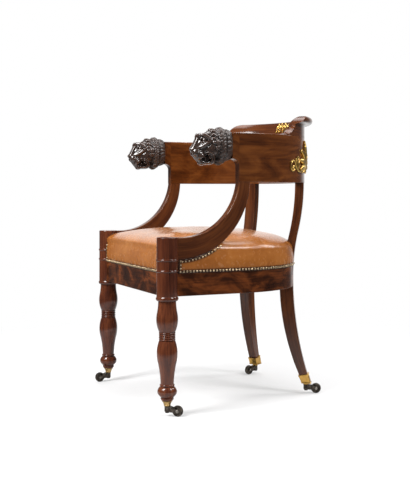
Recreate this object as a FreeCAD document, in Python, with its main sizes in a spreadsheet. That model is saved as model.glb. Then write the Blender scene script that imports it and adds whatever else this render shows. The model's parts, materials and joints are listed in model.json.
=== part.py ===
import FreeCAD
import Part
import Sketcher
import math
import os
from types import SimpleNamespace

# A desk armchair with a horseshoe back: turned front legs, sabre rear legs that run up as stiles,
# curved rails, a leather seat, carved lion heads on the arm ends, gilt mounts and four casters.
# The front faces -Y, +Z is up, and the origin is on the floor at the middle of the chair's box.

vector = FreeCAD.Vector
doc = FreeCAD.newDocument("desk_armchair")

# Driving sizes in millimetres and degrees. Heights are above the floor, and reaches ahead of or
# behind the seat centre, which is the axis that the curved rails are struck from.
sizes = {
    # plan
    "half_width": 251,
    "rail_proud": 12,
    "seat_centre": -24.1,
    "front_leg_reach": 233,
    "back_setback": 38,
    # seat rails and their joints
    "rail_bottom": 322,
    "rail_height": 62,
    "rail_thickness": 28,
    "tenon_thickness": 10,
    "tenon_length": 20,
    "leg_tenon_length": 14,
    "tenon_shoulder": 8,
    "joint_gap": 0.15,
    "cut_over": 1,
    "block_leg": 70,
    "block_height": 40,
    # turned front legs, from the top down
    "post_top": 482,
    "post_radius": 29,
    "post_edge": 3,
    "upper_bead": 421,
    "lower_bead": 391,
    "bead_height": 8,
    "bead_rise": 2,
    "collar_height": 11,
    "collar_rise": 2,
    "neck_radius": 24.5,
    "shoulder_height": 280,
    "shoulder_radius": 27.4,
    "upper_belly_rise": 4.4,
    "neck_hollow": 0.8,
    "ring_bottom": 204,
    "ring_height": 7.6,
    "ring_count": 3,
    "ring_radius": 21,
    "ring_rise": 2.4,
    "belly_end_radius": 22.3,
    "belly_base_height": 140,
    "belly_base_radius": 24.4,
    "lower_belly_rise": 5.2,
    "calf_hollow": 1.2,
    "bulb_top": 85,
    "bulb_bottom": 52,
    "bulb_end_radius": 18.7,
    "bulb_rise": 7.6,
    "ankle_bottom": 42,
    "ankle_radius": 15,
    "spigot_length": 7,
    "spigot_radius": 9.8,
    # sabre rear legs
    "rear_leg_angle": 33,
    "rear_leg_depth": 40,
    "rear_leg_width": 36,
    "stile_back_start": 350,
    "stile_front_start": 335,
    "stile_front_bend": 300,
    "sweep_height": 62,
    "sweep_reach": 41.5,
    "sweep_depth": 26,
    "foot_height": 36,
    "foot_reach": 50,
    "foot_depth": 24,
    "foot_width": 26,
    "stile_tenon_width": 22,
    "stile_tenon_height": 30,
    # arms
    "back_thickness": 26,
    "arm_drop": 1,
    "arm_flat": 41,
    "arm_depth": 60,
    "arm_under_flat": 27,
    "arm_neck_reach": 21.5,
    "arm_neck_width": 33.5,
    "arm_tenon_height": 30,
    "arm_tenon_length": 18,
    # curved back
    "back_bottom": 632,
    "back_height": 138,
    "head_joint_reach": 42,
    "throat_rise": 65,
    "head_tenon_length": 24,
    "head_tenon_height": 34,
    # crest
    "crest_height": 60,
    "crest_half_angle": 67,
    "ramp_angle": 57,
    "ramp_length": 92,
    "crest_lip": 2,
    "roll_reach": 24,
    "roll_thickness": 20,
    "roll_slope": 1,
    "crest_face_height": 10,
    "crest_lean": 25,
    "cove_radius": 8,
    "dowel_radius": 4,
    "dowel_length": 36,
    "dowel_angle": 30,
    # lion heads
    "head_length": 124,
    "head_width": 80,
    "head_bottom": 680,
    "head_height": 103,
    "mouth_reach": 81,
    "mouth_rise": 13.4,
    "mouth_length": 34,
    "mouth_height": 10.8,
    "curl_radius": 8,
    "curl_across": 27,
    "curl_up": 36,
    "curl_axis": 56,
    # gilt mounts
    "mount_thickness": 5,
    "palmette_thickness": 9,
    "petal_count": 7,
    "petal_spread": 78,
    "petal_shortening": 0.4,
    "crest_mount_rise": 28,
    "crest_palmette_height": 31,
    "crest_petal_width": 10,
    "scroll_pitch": 17,
    "scroll_radius": 10,
    "scroll_count": 3,
    "scroll_rise": 15,
    "stem_width": 6,
    "back_mount_rise": 38,
    "back_palmette_height": 88,
    "back_petal_width": 20,
    "tendril_radius": 24,
    "tendril_width": 5,
    "tendril_offset": 73,
    "leaf_width": 24,
    "leaf_height": 28,
    "volute_radius": 10.5,
    "volute_angle": 38,
    # seat
    "web_width": 56,
    "web_thickness": 2,
    "web_count": 5,
    "web_pitch": 82,
    "web_margin": 6,
    "cloth_thickness": 1.2,
    "leather_thickness": 2.5,
    "seat_gap": 0.4,
    "seat_edge": 446,
    "seat_fall": 1.2,
    "seat_crown": 505,
    "seat_span": 210,
    "seat_swell": 2.5,
    "seat_draw": 0.5,
    "front_fullness": 1.5,
    "seat_corner": 12,
    "corner_growth": 0.4,
    "swell_steps": 4,
    "crown_steps": 7,
    "crown_turn": 80,
    # casters
    "wheel_radius": 15,
    "wheel_width": 9,
    "wheel_dish": 1.5,
    "hub_radius": 5.5,
    "rim_depth": 4,
    "tread_crown": 1,
    "axle_radius": 2.5,
    "rivet_radius": 4,
    "rivet_height": 1.5,
    "caster_trail": 30,
    "horn_top": 27,
    "horn_bottom": 12,
    "cheek_thickness": 2.4,
    "cheek_radius": 5,
    "wheel_gap": 0.6,
    "pintle_radius": 3.5,
    "pintle_head_radius": 5.5,
    "pintle_head_height": 3,
    "pintle_tail": 5,
    "running_fit": 0.05,
    "swivel_gap": 0.4,
    "front_left_turn": 50,
    "front_right_turn": -84,
    "rear_left_turn": 65,
    "rear_right_turn": -73,
    # brass cups and gilt shoes
    "cup_radius": 14,
    "cup_foot_radius": 9.5,
    "shoe_wall": 2.2,
    "shoe_top": 54,
    "shoe_top_slope": 6,
    "shoe_boss_radius": 9,
    "shoe_floor": 5,
}


class Dim:
    # A size that carries its number and the expression that ties it to the sheet.
    def __init__(self, value, text):
        self.value = value
        self.text = text

    def __add__(self, other):
        other = dim(other)
        return Dim(self.value + other.value, f"({self.text} + {other.text})")

    def __sub__(self, other):
        other = dim(other)
        return Dim(self.value - other.value, f"({self.text} - {other.text})")

    def __mul__(self, other):
        other = dim(other)
        return Dim(self.value * other.value, f"({self.text} * {other.text})")

    def __truediv__(self, other):
        other = dim(other)
        return Dim(self.value / other.value, f"({self.text} / {other.text})")

    def __neg__(self):
        return self * -1

    def __radd__(self, other):
        return dim(other) + self

    def __rsub__(self, other):
        return dim(other) - self

    def __rmul__(self, other):
        return dim(other) * self

    def root(self):
        return Dim(math.sqrt(self.value), f"sqrt({self.text})")

    def sine(self):
        return Dim(math.sin(math.radians(self.value)), f"sin({self.text})")

    def cosine(self):
        return Dim(math.cos(math.radians(self.value)), f"cos({self.text})")


def dim(number):
    if isinstance(number, Dim):
        return number
    return Dim(float(number), f"({float(number)})")


sheet = doc.addObject("Spreadsheet::Sheet", "Sizes")
for row, (alias, number) in enumerate(sizes.items(), start=1):
    sheet.set(f"A{row}", alias)
    sheet.set(f"B{row}", str(number))
    sheet.setAlias(f"B{row}", alias)
doc.recompute()
s = SimpleNamespace(**{alias: Dim(float(sheet.get(alias)), f"Sizes.{alias}") for alias in sizes})

nodes = []


def bind(target, path, size):
    target.setExpression(path, dim(size).text)


def new_body(name, x=0, y=0, z=0, turn=0):
    body = doc.addObject("PartDesign::Body", name)
    body.Label = name
    bind(body, "Placement.Base.x", x)
    bind(body, "Placement.Base.y", y)
    bind(body, "Placement.Base.z", z)
    bind(body, "Placement.Rotation.Angle", turn)
    nodes.append(body)
    return body


def new_feature(name, shape):
    feature = doc.addObject("Part::Feature", name)
    feature.Label = name
    feature.Shape = shape
    nodes.append(feature)
    return feature


# Sketches are closed runs of corners (x, y) or (x, y, bend), where bend is the radius of the arc
# to the next corner: positive where the run turns left, negative where it turns right.
def arc_between(start, end, bend):
    chord = end - start
    side = vector(-chord.y, chord.x, 0).normalize()
    height = math.sqrt(max(bend * bend - chord.Length ** 2 / 4, 0))
    centre = (start + end) / 2 + side * math.copysign(height, bend)
    first = math.atan2(start.y - centre.y, start.x - centre.x)
    last = math.atan2(end.y - centre.y, end.x - centre.x)
    circle = Part.Circle(centre, vector(0, 0, 1), abs(bend))
    if bend > 0:
        return Part.ArcOfCircle(circle, first, last)
    return Part.ArcOfCircle(circle, last, first)


def pin_corner(sketch, edge, end, corner):
    for kind, axis, size in (("DistanceX", -2, corner[0]), ("DistanceY", -1, corner[1])):
        if size.value == 0:
            sketch.addConstraint(Sketcher.Constraint("PointOnObject", edge, end, axis))
        else:
            index = sketch.addConstraint(Sketcher.Constraint(kind, -1, 1, edge, end, size.value))
            bind(sketch, f"Constraints[{index}]", size)


def draw_run(sketch, run):
    corners = [(dim(corner[0]), dim(corner[1])) for corner in run]
    ends = []
    for index, corner in enumerate(run):
        start = vector(*[size.value for size in corners[index]], 0)
        end = vector(*[size.value for size in corners[(index + 1) % len(run)]], 0)
        if len(corner) == 2:
            edge = sketch.addGeometry(Part.LineSegment(start, end))
            ends.append((edge, 1, 2))
            continue
        bend = dim(corner[2])
        edge = sketch.addGeometry(arc_between(start, end, bend.value))
        # an arc is stored counter-clockwise, so one that turns right is stored from its far end
        ends.append((edge, 1, 2) if bend.value > 0 else (edge, 2, 1))
        radius = sketch.addConstraint(Sketcher.Constraint("Radius", edge, abs(bend.value)))
        sketch.setExpression(f"Constraints[{radius}]", f"abs({bend.text})")
    for index, (edge, start, end) in enumerate(ends):
        following = ends[(index + 1) % len(ends)]
        sketch.addConstraint(Sketcher.Constraint("Coincident", edge, end, following[0], following[1]))
        pin_corner(sketch, edge, start, corners[index])


def new_sketch(body, name, plane, *runs, turn=0):
    sketch = body.newObject("Sketcher::SketchObject", f"{body.Name}_{name}")
    planes = {feature.Role: feature for feature in body.Origin.OriginFeatures}
    sketch.AttachmentSupport = [(planes[plane], "")]
    sketch.MapMode = "FlatFace"
    if turn:
        sketch.AttachmentOffset = FreeCAD.Placement(vector(), FreeCAD.Rotation(vector(0, 1, 0), turn))
    for run in runs:
        draw_run(sketch, run)
    return sketch


def pad(body, sketch, length, centred=False):
    feature = body.newObject("PartDesign::Pad", f"{sketch.Name}_pad")
    feature.Profile = sketch
    bind(feature, "Length", length)
    feature.Midplane = centred
    return feature


def pocket(body, sketch, length):
    # cuts equally to both sides of the sketch
    feature = body.newObject("PartDesign::Pocket", f"{sketch.Name}_pocket")
    feature.Profile = sketch
    bind(feature, "Length", length)
    feature.Midplane = True
    return feature


def revolve(body, sketch):
    feature = body.newObject("PartDesign::Revolution", f"{sketch.Name}_turned")
    feature.Profile = sketch
    feature.ReferenceAxis = (sketch, ["V_Axis"])
    feature.Angle = 360
    return feature


def block(body, kind, name, x, y, z, placement=None):
    # a box added to or cut from a body, each direction given as (low, high)
    feature = body.newObject(f"PartDesign::{kind}Box", f"{body.Name}_{name}")
    for length, low, high in (("Length", *x), ("Width", *y), ("Height", *z)):
        bind(feature, length, high - low)
    if placement is None:
        for axis, (low, high) in (("x", x), ("y", y), ("z", z)):
            bind(feature, f"Placement.Base.{axis}", low)
    else:
        corner = vector(dim(x[0]).value, dim(y[0]).value, dim(z[0]).value)
        feature.Placement = placement.multiply(FreeCAD.Placement(corner, FreeCAD.Rotation()))
    return feature


def bore(body, kind, name, radius, x, y, z, lying=False):
    # a round pin added to or cut from a body, along Z from (low, high), or lying along Y
    feature = body.newObject(f"PartDesign::{kind}Cylinder", f"{body.Name}_{name}")
    bind(feature, "Radius", radius)
    low, high = y if lying else z
    bind(feature, "Height", high - low)
    if lying:
        feature.Placement = FreeCAD.Placement(vector(), FreeCAD.Rotation(vector(1, 0, 0), -90))
    bind(feature, "Placement.Base.x", x)
    bind(feature, "Placement.Base.y", low if lying else y)
    bind(feature, "Placement.Base.z", z if lying else low)
    return feature


def bow(chord, rise):
    # radius of an arc that stands up by rise over a chord
    return (chord * chord / 4 + rise * rise) / (2 * rise)


def span(start, end):
    across = end[0] - start[0]
    along = end[1] - start[1]
    return (across * across + along * along).root()


# Places that several pieces share
seat_radius = s.half_width + s.rail_proud
leg_line = s.seat_centre - s.front_leg_reach
back_centre = s.seat_centre + s.back_setback
back_top = s.back_bottom + s.back_height
rail_top = s.rail_bottom + s.rail_height
rail_middle = seat_radius - s.rail_thickness / 2
tenon_low = s.rail_bottom + s.tenon_shoulder
tenon_high = rail_top - s.tenon_shoulder
half_tenon = s.tenon_thickness / 2
arm_top = s.post_top - s.arm_drop
arm_under = arm_top - s.arm_depth
arm_tenon_low = arm_top - s.arm_depth / 2 - s.arm_tenon_height / 2
arm_tenon_high = arm_tenon_low + s.arm_tenon_height
outer_radius = s.half_width + s.back_thickness / 2
inner_radius = s.half_width - s.back_thickness / 2
leg_turn = 90 - s.rear_leg_angle
shortfall = s.back_setback * s.rear_leg_angle.sine()
stile_reach = s.back_setback * s.rear_leg_angle.cosine() \
    + (s.half_width * s.half_width - shortfall * shortfall).root()
neck_middle = s.arm_neck_reach - s.arm_neck_width / 2
pintle_reach = seat_radius + s.foot_reach - s.foot_depth / 2
cup_bottom = s.horn_top + s.swivel_gap
sides = {"left": 1, "right": -1}


def widen(low, high):
    return low - s.joint_gap, high + s.joint_gap


def build_front_leg(name, side):
    body = new_body(name, side * s.half_width, leg_line)
    collar_top = s.rail_bottom + s.joint_gap
    collar_bottom = collar_top - s.collar_height
    ring_top = s.ring_bottom + s.ring_height * s.ring_count
    upper_start = (s.belly_end_radius, ring_top)
    shoulder = (s.shoulder_radius, s.shoulder_height)
    neck = (s.neck_radius, collar_bottom)
    belly_base = (s.belly_base_radius, s.belly_base_height)
    belly_end = (s.belly_end_radius, s.ring_bottom)
    calf = (s.bulb_end_radius, s.bulb_top)
    bulb_chord = s.bulb_top - s.bulb_bottom
    run = [(0, s.ankle_bottom - s.spigot_length),
           (s.spigot_radius, s.ankle_bottom - s.spigot_length),
           (s.spigot_radius, s.ankle_bottom),
           (s.ankle_radius, s.ankle_bottom),
           (s.bulb_end_radius, s.bulb_bottom, bow(bulb_chord, s.bulb_rise)),
           (*calf, -bow(span(calf, belly_base), s.calf_hollow)),
           (*belly_base, bow(span(belly_base, belly_end), s.lower_belly_rise)),
           belly_end]
    for ring in range(int(s.ring_count.value)):
        run.append((s.ring_radius, s.ring_bottom + s.ring_height * ring, bow(s.ring_height, s.ring_rise)))
    run += [(s.ring_radius, ring_top),
            (*upper_start, bow(span(upper_start, shoulder), s.upper_belly_rise)),
            (*shoulder, -bow(span(shoulder, neck), s.neck_hollow)),
            neck,
            (s.post_radius, collar_bottom, bow(s.collar_height, s.collar_rise)),
            (s.post_radius, collar_top)]
    for bead in (s.lower_bead, s.upper_bead):
        run.append((s.post_radius, bead - s.bead_height / 2, bow(s.bead_height, s.bead_rise)))
        run.append((s.post_radius, bead + s.bead_height / 2))
    run += [(s.post_radius, s.post_top - s.post_edge, s.post_edge),
            (s.post_radius - s.post_edge, s.post_top),
            (0, s.post_top)]
    revolve(body, new_sketch(body, "profile", "XZ_Plane", run))
    # mortises for the front rail, the side rail and the arm
    end = s.tenon_length - s.post_radius + s.joint_gap
    reach = sorted_pair(-s.post_radius - s.cut_over, end, side)
    block(body, "Subtractive", "front_mortise", reach, widen(-half_tenon, half_tenon),
          widen(tenon_low, tenon_high))
    offset = side * (rail_middle - s.half_width)
    block(body, "Subtractive", "side_mortise", widen(offset - half_tenon, offset + half_tenon),
          (-end, s.post_radius + s.cut_over), widen(tenon_low, tenon_high))
    block(body, "Subtractive", "arm_mortise", widen(-half_tenon, half_tenon),
          (s.post_radius - s.arm_tenon_length - s.joint_gap, s.post_radius + s.cut_over),
          widen(arm_tenon_low, arm_tenon_high))


def sorted_pair(low, high, side):
    if side > 0:
        return low, high
    return -high, -low


def build_front_rail():
    body = new_body("front_seat_rail", 0, leg_line, s.rail_bottom)
    half = s.rail_thickness / 2
    run = [(-s.half_width, -half), (s.half_width, -half), (s.half_width, half), (-s.half_width, half)]
    pad(body, new_sketch(body, "plan", "XY_Plane", run), s.rail_height)
    for name, side in sides.items():
        bore(body, "Subtractive", f"cope_{name}", s.post_radius + s.joint_gap, side * s.half_width, 0,
             (-s.cut_over, s.rail_height + s.cut_over))
        root = s.half_width - s.post_radius - s.tenon_length
        tip = s.half_width - s.post_radius + s.tenon_length
        block(body, "Additive", f"tenon_{name}", sorted_pair(root, tip, side), (-half_tenon, half_tenon),
              (s.tenon_shoulder, s.rail_height - s.tenon_shoulder))


def leg_face_point(radius, side, other=1):
    # where a circle about the seat centre meets the face of the rear leg
    half = (s.rear_leg_width / 2 + s.joint_gap) * other
    along = (radius * radius - half * half).root()
    x = along * s.rear_leg_angle.sine() + half * s.rear_leg_angle.cosine()
    y = along * s.rear_leg_angle.cosine() - half * s.rear_leg_angle.sine()
    return side * x, y


def leg_frame(side):
    turn = leg_turn.value if side > 0 else 180 - leg_turn.value
    return FreeCAD.Placement(vector(), FreeCAD.Rotation(vector(0, 0, 1), turn))


def leg_tenon(body, name, side, hand):
    # a tenon that runs square into the side of the rear leg
    face = s.rear_leg_width / 2
    across = sorted_pair(face - s.leg_tenon_length, face + s.leg_tenon_length, hand)
    block(body, "Additive", name, (rail_middle - half_tenon, rail_middle + half_tenon), across,
          (s.tenon_shoulder, s.rail_height - s.tenon_shoulder), leg_frame(side))


def build_side_rail(name, side):
    body = new_body(name, 0, s.seat_centre, s.rail_bottom)
    inside = seat_radius - s.rail_thickness
    run = [(side * seat_radius, -s.front_leg_reach),
           (side * seat_radius, 0, side * seat_radius),
           leg_face_point(seat_radius, side),
           (*leg_face_point(inside, side), -side * inside),
           (side * inside, 0),
           (side * inside, -s.front_leg_reach)]
    pad(body, new_sketch(body, "plan", "XY_Plane", run), s.rail_height)
    bore(body, "Subtractive", "cope", s.post_radius + s.joint_gap, side * s.half_width, -s.front_leg_reach,
         (-s.cut_over, s.rail_height + s.cut_over))
    root = -s.front_leg_reach + s.post_radius
    middle = side * rail_middle
    block(body, "Additive", "front_tenon", (middle - half_tenon, middle + half_tenon),
          (root - s.tenon_length, root + s.tenon_length),
          (s.tenon_shoulder, s.rail_height - s.tenon_shoulder))
    leg_tenon(body, f"{name}_rear_tenon", side, -side)


def build_rear_rail():
    body = new_body("rear_seat_rail", 0, s.seat_centre, s.rail_bottom)
    inside = seat_radius - s.rail_thickness
    run = [(*leg_face_point(seat_radius, 1, -1), seat_radius),
           leg_face_point(seat_radius, -1, -1),
           (*leg_face_point(inside, -1, -1), -inside),
           leg_face_point(inside, 1, -1)]
    pad(body, new_sketch(body, "plan", "XY_Plane", run), s.rail_height)
    for name, side in sides.items():
        leg_tenon(body, f"tenon_{name}", side, side)


def build_corner_block(name, side):
    body = new_body(name, side * s.half_width, leg_line, s.rail_bottom + (s.rail_height - s.block_height) / 2)
    front = s.rail_thickness / 2
    inside = rail_middle - s.rail_thickness / 2 - s.half_width
    run = [(side * inside, front + s.block_leg), (side * (inside - s.block_leg), front),
           (side * inside, front)]
    pad(body, new_sketch(body, "plan", "XY_Plane", run), s.block_height)
    bore(body, "Subtractive", "cope", s.post_radius + s.seat_gap, 0, 0,
         (-s.cut_over, s.block_height + s.cut_over))


def sweep(start, end):
    # radius of the arc that leaves start upright and ends at end
    across = end[0] - start[0]
    along = end[1] - start[1]
    return (across * across + along * along) / (2 * across)


def rear_leg_lines():
    # corners of the sabre profile, as reach from the seat centre and height
    back = seat_radius
    front = seat_radius - s.rear_leg_depth
    stile_back = stile_reach + s.back_thickness / 2
    stile_front = stile_reach - s.back_thickness / 2
    lines = SimpleNamespace()
    lines.back_start = (back, s.stile_back_start)
    lines.front_start = (front, s.stile_front_start)
    lines.back_top = (stile_back, s.back_bottom)
    lines.front_top = (stile_front, s.back_bottom)
    lines.back_sweep = (back + s.sweep_reach, s.sweep_height)
    lines.front_sweep = (back + s.sweep_reach - s.sweep_depth, s.sweep_height)
    lines.back_foot = (back + s.foot_reach, s.foot_height)
    lines.front_foot = (back + s.foot_reach - s.foot_depth, s.foot_height)
    return lines


def rear_leg_run():
    lines = rear_leg_lines()
    # each stile edge is an ogee of two arcs, upright at both ends, which meet on its chord
    back_sum = sweep(lines.back_start, lines.back_top)
    front_sum = sweep(lines.front_start, lines.front_top)
    share = s.stile_front_bend / front_sum
    back_turn = tuple((low + high) / 2 for low, high in zip(lines.back_start, lines.back_top))
    front_turn = tuple(low + (high - low) * share for low, high in zip(lines.front_start, lines.front_top))
    return [lines.front_foot,
            lines.back_foot,
            (*lines.back_sweep, -sweep(lines.back_start, lines.back_sweep)),
            (*lines.back_start, -back_sum / 2),
            (*back_turn, back_sum / 2),
            lines.back_top,
            (*lines.front_top, -(front_sum - s.stile_front_bend)),
            (*front_turn, s.stile_front_bend),
            (*lines.front_start, sweep(lines.front_start, lines.front_sweep)),
            lines.front_sweep]


def build_rear_leg(name, side):
    body = new_body(name, 0, s.seat_centre, 0, leg_turn if side > 0 else 180 - leg_turn)
    pad(body, new_sketch(body, "profile", "XZ_Plane", rear_leg_run()), s.rear_leg_width, centred=True)
    half = s.rear_leg_width / 2
    foot = s.foot_width / 2
    beyond = half + s.cut_over
    below = s.foot_height - s.cut_over
    # both flanks taper from the rail down to the foot
    wedges = [[(hand * half, s.rail_bottom), (hand * foot, s.sweep_height), (hand * foot, below),
               (hand * beyond, below), (hand * beyond, s.rail_bottom)]
              for hand in (1, -1)]
    pocket(body, new_sketch(body, "taper", "YZ_Plane", *wedges), 4 * seat_radius)
    for hand in (1, -1):
        block(body, "Subtractive", f"mortise_{'a' if hand > 0 else 'b'}",
              widen(rail_middle - half_tenon, rail_middle + half_tenon),
              sorted_pair(half - s.leg_tenon_length - s.joint_gap, beyond, hand),
              widen(tenon_low, tenon_high))
    block(body, "Additive", "stile_tenon", (stile_reach - half_tenon, stile_reach + half_tenon),
          (-s.stile_tenon_width / 2, s.stile_tenon_width / 2),
          (s.back_bottom - s.stile_tenon_height, s.back_bottom + s.stile_tenon_height))


def arm_outline():
    # side view of an arm, from the axis of the post to the underside of the back
    post = -s.front_leg_reach
    flat_end = (post + s.arm_flat, arm_top)
    neck_front = (-s.arm_neck_reach, s.back_bottom)
    neck_back = (s.arm_neck_width - s.arm_neck_reach, s.back_bottom)
    under_end = (post + s.arm_under_flat, arm_under)
    return [(post, arm_under),
            (*under_end, level_sweep(under_end, neck_back)),
            neck_back,
            (*neck_front, -level_sweep(flat_end, neck_front)),
            flat_end,
            (post, arm_top)]


def build_arm(name, side):
    body = new_body(name, side * s.half_width, s.seat_centre)
    post = -s.front_leg_reach
    pad(body, new_sketch(body, "profile", "YZ_Plane", arm_outline()), s.back_thickness, centred=True)
    bore(body, "Subtractive", "cope", s.post_radius + s.joint_gap, 0, post,
         (arm_under - s.cut_over, arm_top + s.cut_over))
    bore(body, "Subtractive", "bead_cope", s.post_radius + s.bead_rise + s.joint_gap, 0, post,
         (arm_under - s.cut_over, s.upper_bead + s.bead_height / 2 + s.joint_gap))
    root = post + s.post_radius
    block(body, "Additive", "front_tenon", (-half_tenon, half_tenon),
          (root - s.arm_tenon_length, root + s.arm_tenon_length), (arm_tenon_low, arm_tenon_high))
    block(body, "Additive", "neck_tenon", (-half_tenon, half_tenon),
          (-neck_middle - half_tenon, -neck_middle + half_tenon),
          (s.back_bottom - s.stile_tenon_height, s.back_bottom + s.stile_tenon_height))


def level_sweep(start, end):
    # radius of the arc that leaves start level and ends at end
    across = end[0] - start[0]
    along = end[1] - start[1]
    return (across * across + along * along) / (2 * along)


def build_back():
    body = new_body("back_yoke", 0, back_centre, s.back_bottom)
    tip = -s.back_setback - s.head_joint_reach
    run = [(outer_radius, tip),
           (outer_radius, 0, outer_radius),
           (0, outer_radius, outer_radius),
           (-outer_radius, 0),
           (-outer_radius, tip),
           (-inner_radius, tip),
           (-inner_radius, 0, -inner_radius),
           (0, inner_radius, -inner_radius),
           (inner_radius, 0),
           (inner_radius, tip)]
    pad(body, new_sketch(body, "plan", "XY_Plane", run), s.back_height)
    # the front ends are cut back below the throat of each head
    front = -s.back_setback - s.arm_neck_reach
    throat = s.head_joint_reach - s.arm_neck_reach
    run = [(tip - s.cut_over, -s.cut_over), (front, -s.cut_over), (front, s.throat_rise - throat, throat),
           (tip, s.throat_rise), (tip - s.cut_over, s.throat_rise)]
    pocket(body, new_sketch(body, "throat", "YZ_Plane", run), 4 * outer_radius)
    deep = s.stile_tenon_height + s.joint_gap
    for name, side in sides.items():
        middle = side * s.half_width
        neck = -s.back_setback - neck_middle
        block(body, "Subtractive", f"arm_mortise_{name}", widen(middle - half_tenon, middle + half_tenon),
              widen(neck - half_tenon, neck + half_tenon), (-s.cut_over, deep))
        place = FreeCAD.Placement(vector(0, -s.back_setback.value, 0), FreeCAD.Rotation())
        block(body, "Subtractive", f"stile_mortise_{name}",
              widen(stile_reach - half_tenon, stile_reach + half_tenon),
              widen(-s.stile_tenon_width / 2, s.stile_tenon_width / 2), (-s.cut_over, deep),
              place.multiply(leg_frame(side)))
        low = s.throat_rise + (s.back_height - s.throat_rise - s.head_tenon_height) / 2
        block(body, "Additive", f"head_tenon_{name}", (middle - half_tenon, middle + half_tenon),
              (tip - s.head_tenon_length, tip + half_tenon), (low, low + s.head_tenon_height))
    for index, (x, y) in enumerate(dowel_spots()):
        bore(body, "Subtractive", f"dowel_hole_{index}", s.dowel_radius + s.joint_gap, x, y,
             (s.back_height - s.dowel_length / 2 - s.joint_gap, s.back_height + s.cut_over))


def dowel_spots():
    across = s.half_width * s.dowel_angle.sine()
    along = s.half_width * s.dowel_angle.cosine()
    return [(-across, along), (dim(0), s.half_width), (across, along)]


def build_crest():
    # the section is turned about the axis of the back, then each end is cut down to an ogee ramp
    body = new_body("crest_rail", 0, back_centre, back_top, 90)
    face_foot = (inner_radius, s.crest_face_height)
    face_top = (inner_radius + s.crest_lean, s.crest_height)
    tip = outer_radius + s.roll_reach
    nose = s.roll_thickness / 2
    under = s.crest_height - s.roll_thickness
    run = [(inner_radius, 0),
           (outer_radius, 0),
           (outer_radius, under - s.cove_radius, -s.cove_radius),
           (outer_radius + s.cove_radius, under),
           (tip - nose, under - s.roll_slope, nose),
           (tip, under - s.roll_slope + nose, nose),
           (tip - nose, s.crest_height - s.roll_slope),
           (*face_top, sweep(face_foot, face_top)),
           face_foot]
    feature = revolve(body, new_sketch(body, "section", "XZ_Plane", run))
    feature.Midplane = True
    bind(feature, "Angle", 2 * s.crest_half_angle)
    half = s.ramp_length / 2
    rise = s.crest_height - s.crest_lip
    ogee = (s.ramp_length * s.ramp_length + rise * rise) / (4 * rise)
    for hand, name in ((1, "left"), (-1, "right")):
        run = [(-hand * half, s.crest_height, hand * -ogee),
               (0, s.crest_lip + rise / 2, hand * ogee),
               (hand * half, s.crest_lip),
               (hand * s.ramp_length, s.crest_lip),
               (hand * s.ramp_length, s.crest_height + s.cut_over),
               (-hand * half, s.crest_height + s.cut_over)]
        sketch = new_sketch(body, f"ramp_{name}", "YZ_Plane", run, turn=hand * s.ramp_angle.value)
        cut = body.newObject("PartDesign::Pocket", f"crest_ramp_{name}")
        cut.Profile = sketch
        cut.Reversed = True
        bind(cut, "Length", 2 * tip)
    for index, (x, y) in enumerate(dowel_spots()):
        bore(body, "Subtractive", f"dowel_hole_{index}", s.dowel_radius + s.joint_gap, y, -x,
             (-s.cut_over, s.dowel_length / 2 + s.joint_gap))


def build_dowels():
    pins = []
    for x, y in dowel_spots():
        base = vector(x.value, (back_centre + y).value, (back_top - s.dowel_length / 2).value)
        pins.append(Part.makeCylinder(s.dowel_radius.value, s.dowel_length.value, base))
    new_feature("crest_dowels", Part.makeCompound(pins))


def caster_spots():
    along = pintle_reach * s.rear_leg_angle.cosine()
    across = pintle_reach * s.rear_leg_angle.sine()
    return {
        "front_left": (s.half_width, leg_line, s.front_left_turn),
        "front_right": (-s.half_width, leg_line, s.front_right_turn),
        "rear_left": (across, s.seat_centre + along, s.rear_left_turn),
        "rear_right": (-across, s.seat_centre + along, s.rear_right_turn),
    }


def build_caster(name, x, y, turn):
    half_fork = s.wheel_width / 2 + s.wheel_gap + s.cheek_thickness
    build_pintle(f"caster_pintle_{name}", x, y)
    build_horn(f"caster_horn_{name}", x, y, turn, half_fork)
    wheel_x = x + s.caster_trail * turn.cosine()
    wheel_y = y + s.caster_trail * turn.sine()
    build_axle(f"caster_axle_{name}", wheel_x, wheel_y, turn, half_fork)
    build_wheel(f"caster_wheel_{name}", wheel_x, wheel_y, turn)


def build_pintle(name, x, y):
    body = new_body(name, x, y)
    head_top = s.horn_bottom - s.swivel_gap
    head_bottom = head_top - s.pintle_head_height
    top = cup_bottom + s.pintle_tail
    run = [(0, head_bottom), (s.pintle_head_radius, head_bottom), (s.pintle_head_radius, head_top),
           (s.pintle_radius, head_top), (s.pintle_radius, top), (0, top)]
    revolve(body, new_sketch(body, "profile", "XZ_Plane", run))


def build_horn(name, x, y, turn, half_fork):
    # a round boss on the pintle, with two cheeks that trail back to the axle
    body = new_body(name, x, y, 0, turn)
    run = [(0, s.horn_bottom),
           (s.caster_trail, s.wheel_radius - s.cheek_radius, s.cheek_radius),
           (s.caster_trail + s.cheek_radius, s.wheel_radius, s.cheek_radius),
           (s.caster_trail, s.wheel_radius + s.cheek_radius),
           (half_fork, s.horn_top - s.swivel_gap),
           (0, s.horn_top - s.swivel_gap)]
    pad(body, new_sketch(body, "cheeks", "XZ_Plane", run), 2 * half_fork, centred=True)
    bore(body, "Additive", "boss", half_fork, 0, 0, (s.horn_bottom, s.horn_top))
    slot = s.wheel_width / 2 + s.wheel_gap
    block(body, "Subtractive", "wheel_slot", (s.caster_trail - s.wheel_radius - 2 * s.wheel_gap,
          s.caster_trail + s.wheel_radius), (-slot, slot), (dim(0), 2 * s.horn_top))
    bore(body, "Subtractive", "pintle_bore", s.pintle_radius + s.running_fit, 0, 0, (dim(0), 2 * s.horn_top))
    bore(body, "Subtractive", "axle_bore", s.axle_radius + s.running_fit, s.caster_trail,
         (-2 * half_fork, 2 * half_fork), s.wheel_radius, lying=True)


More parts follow.
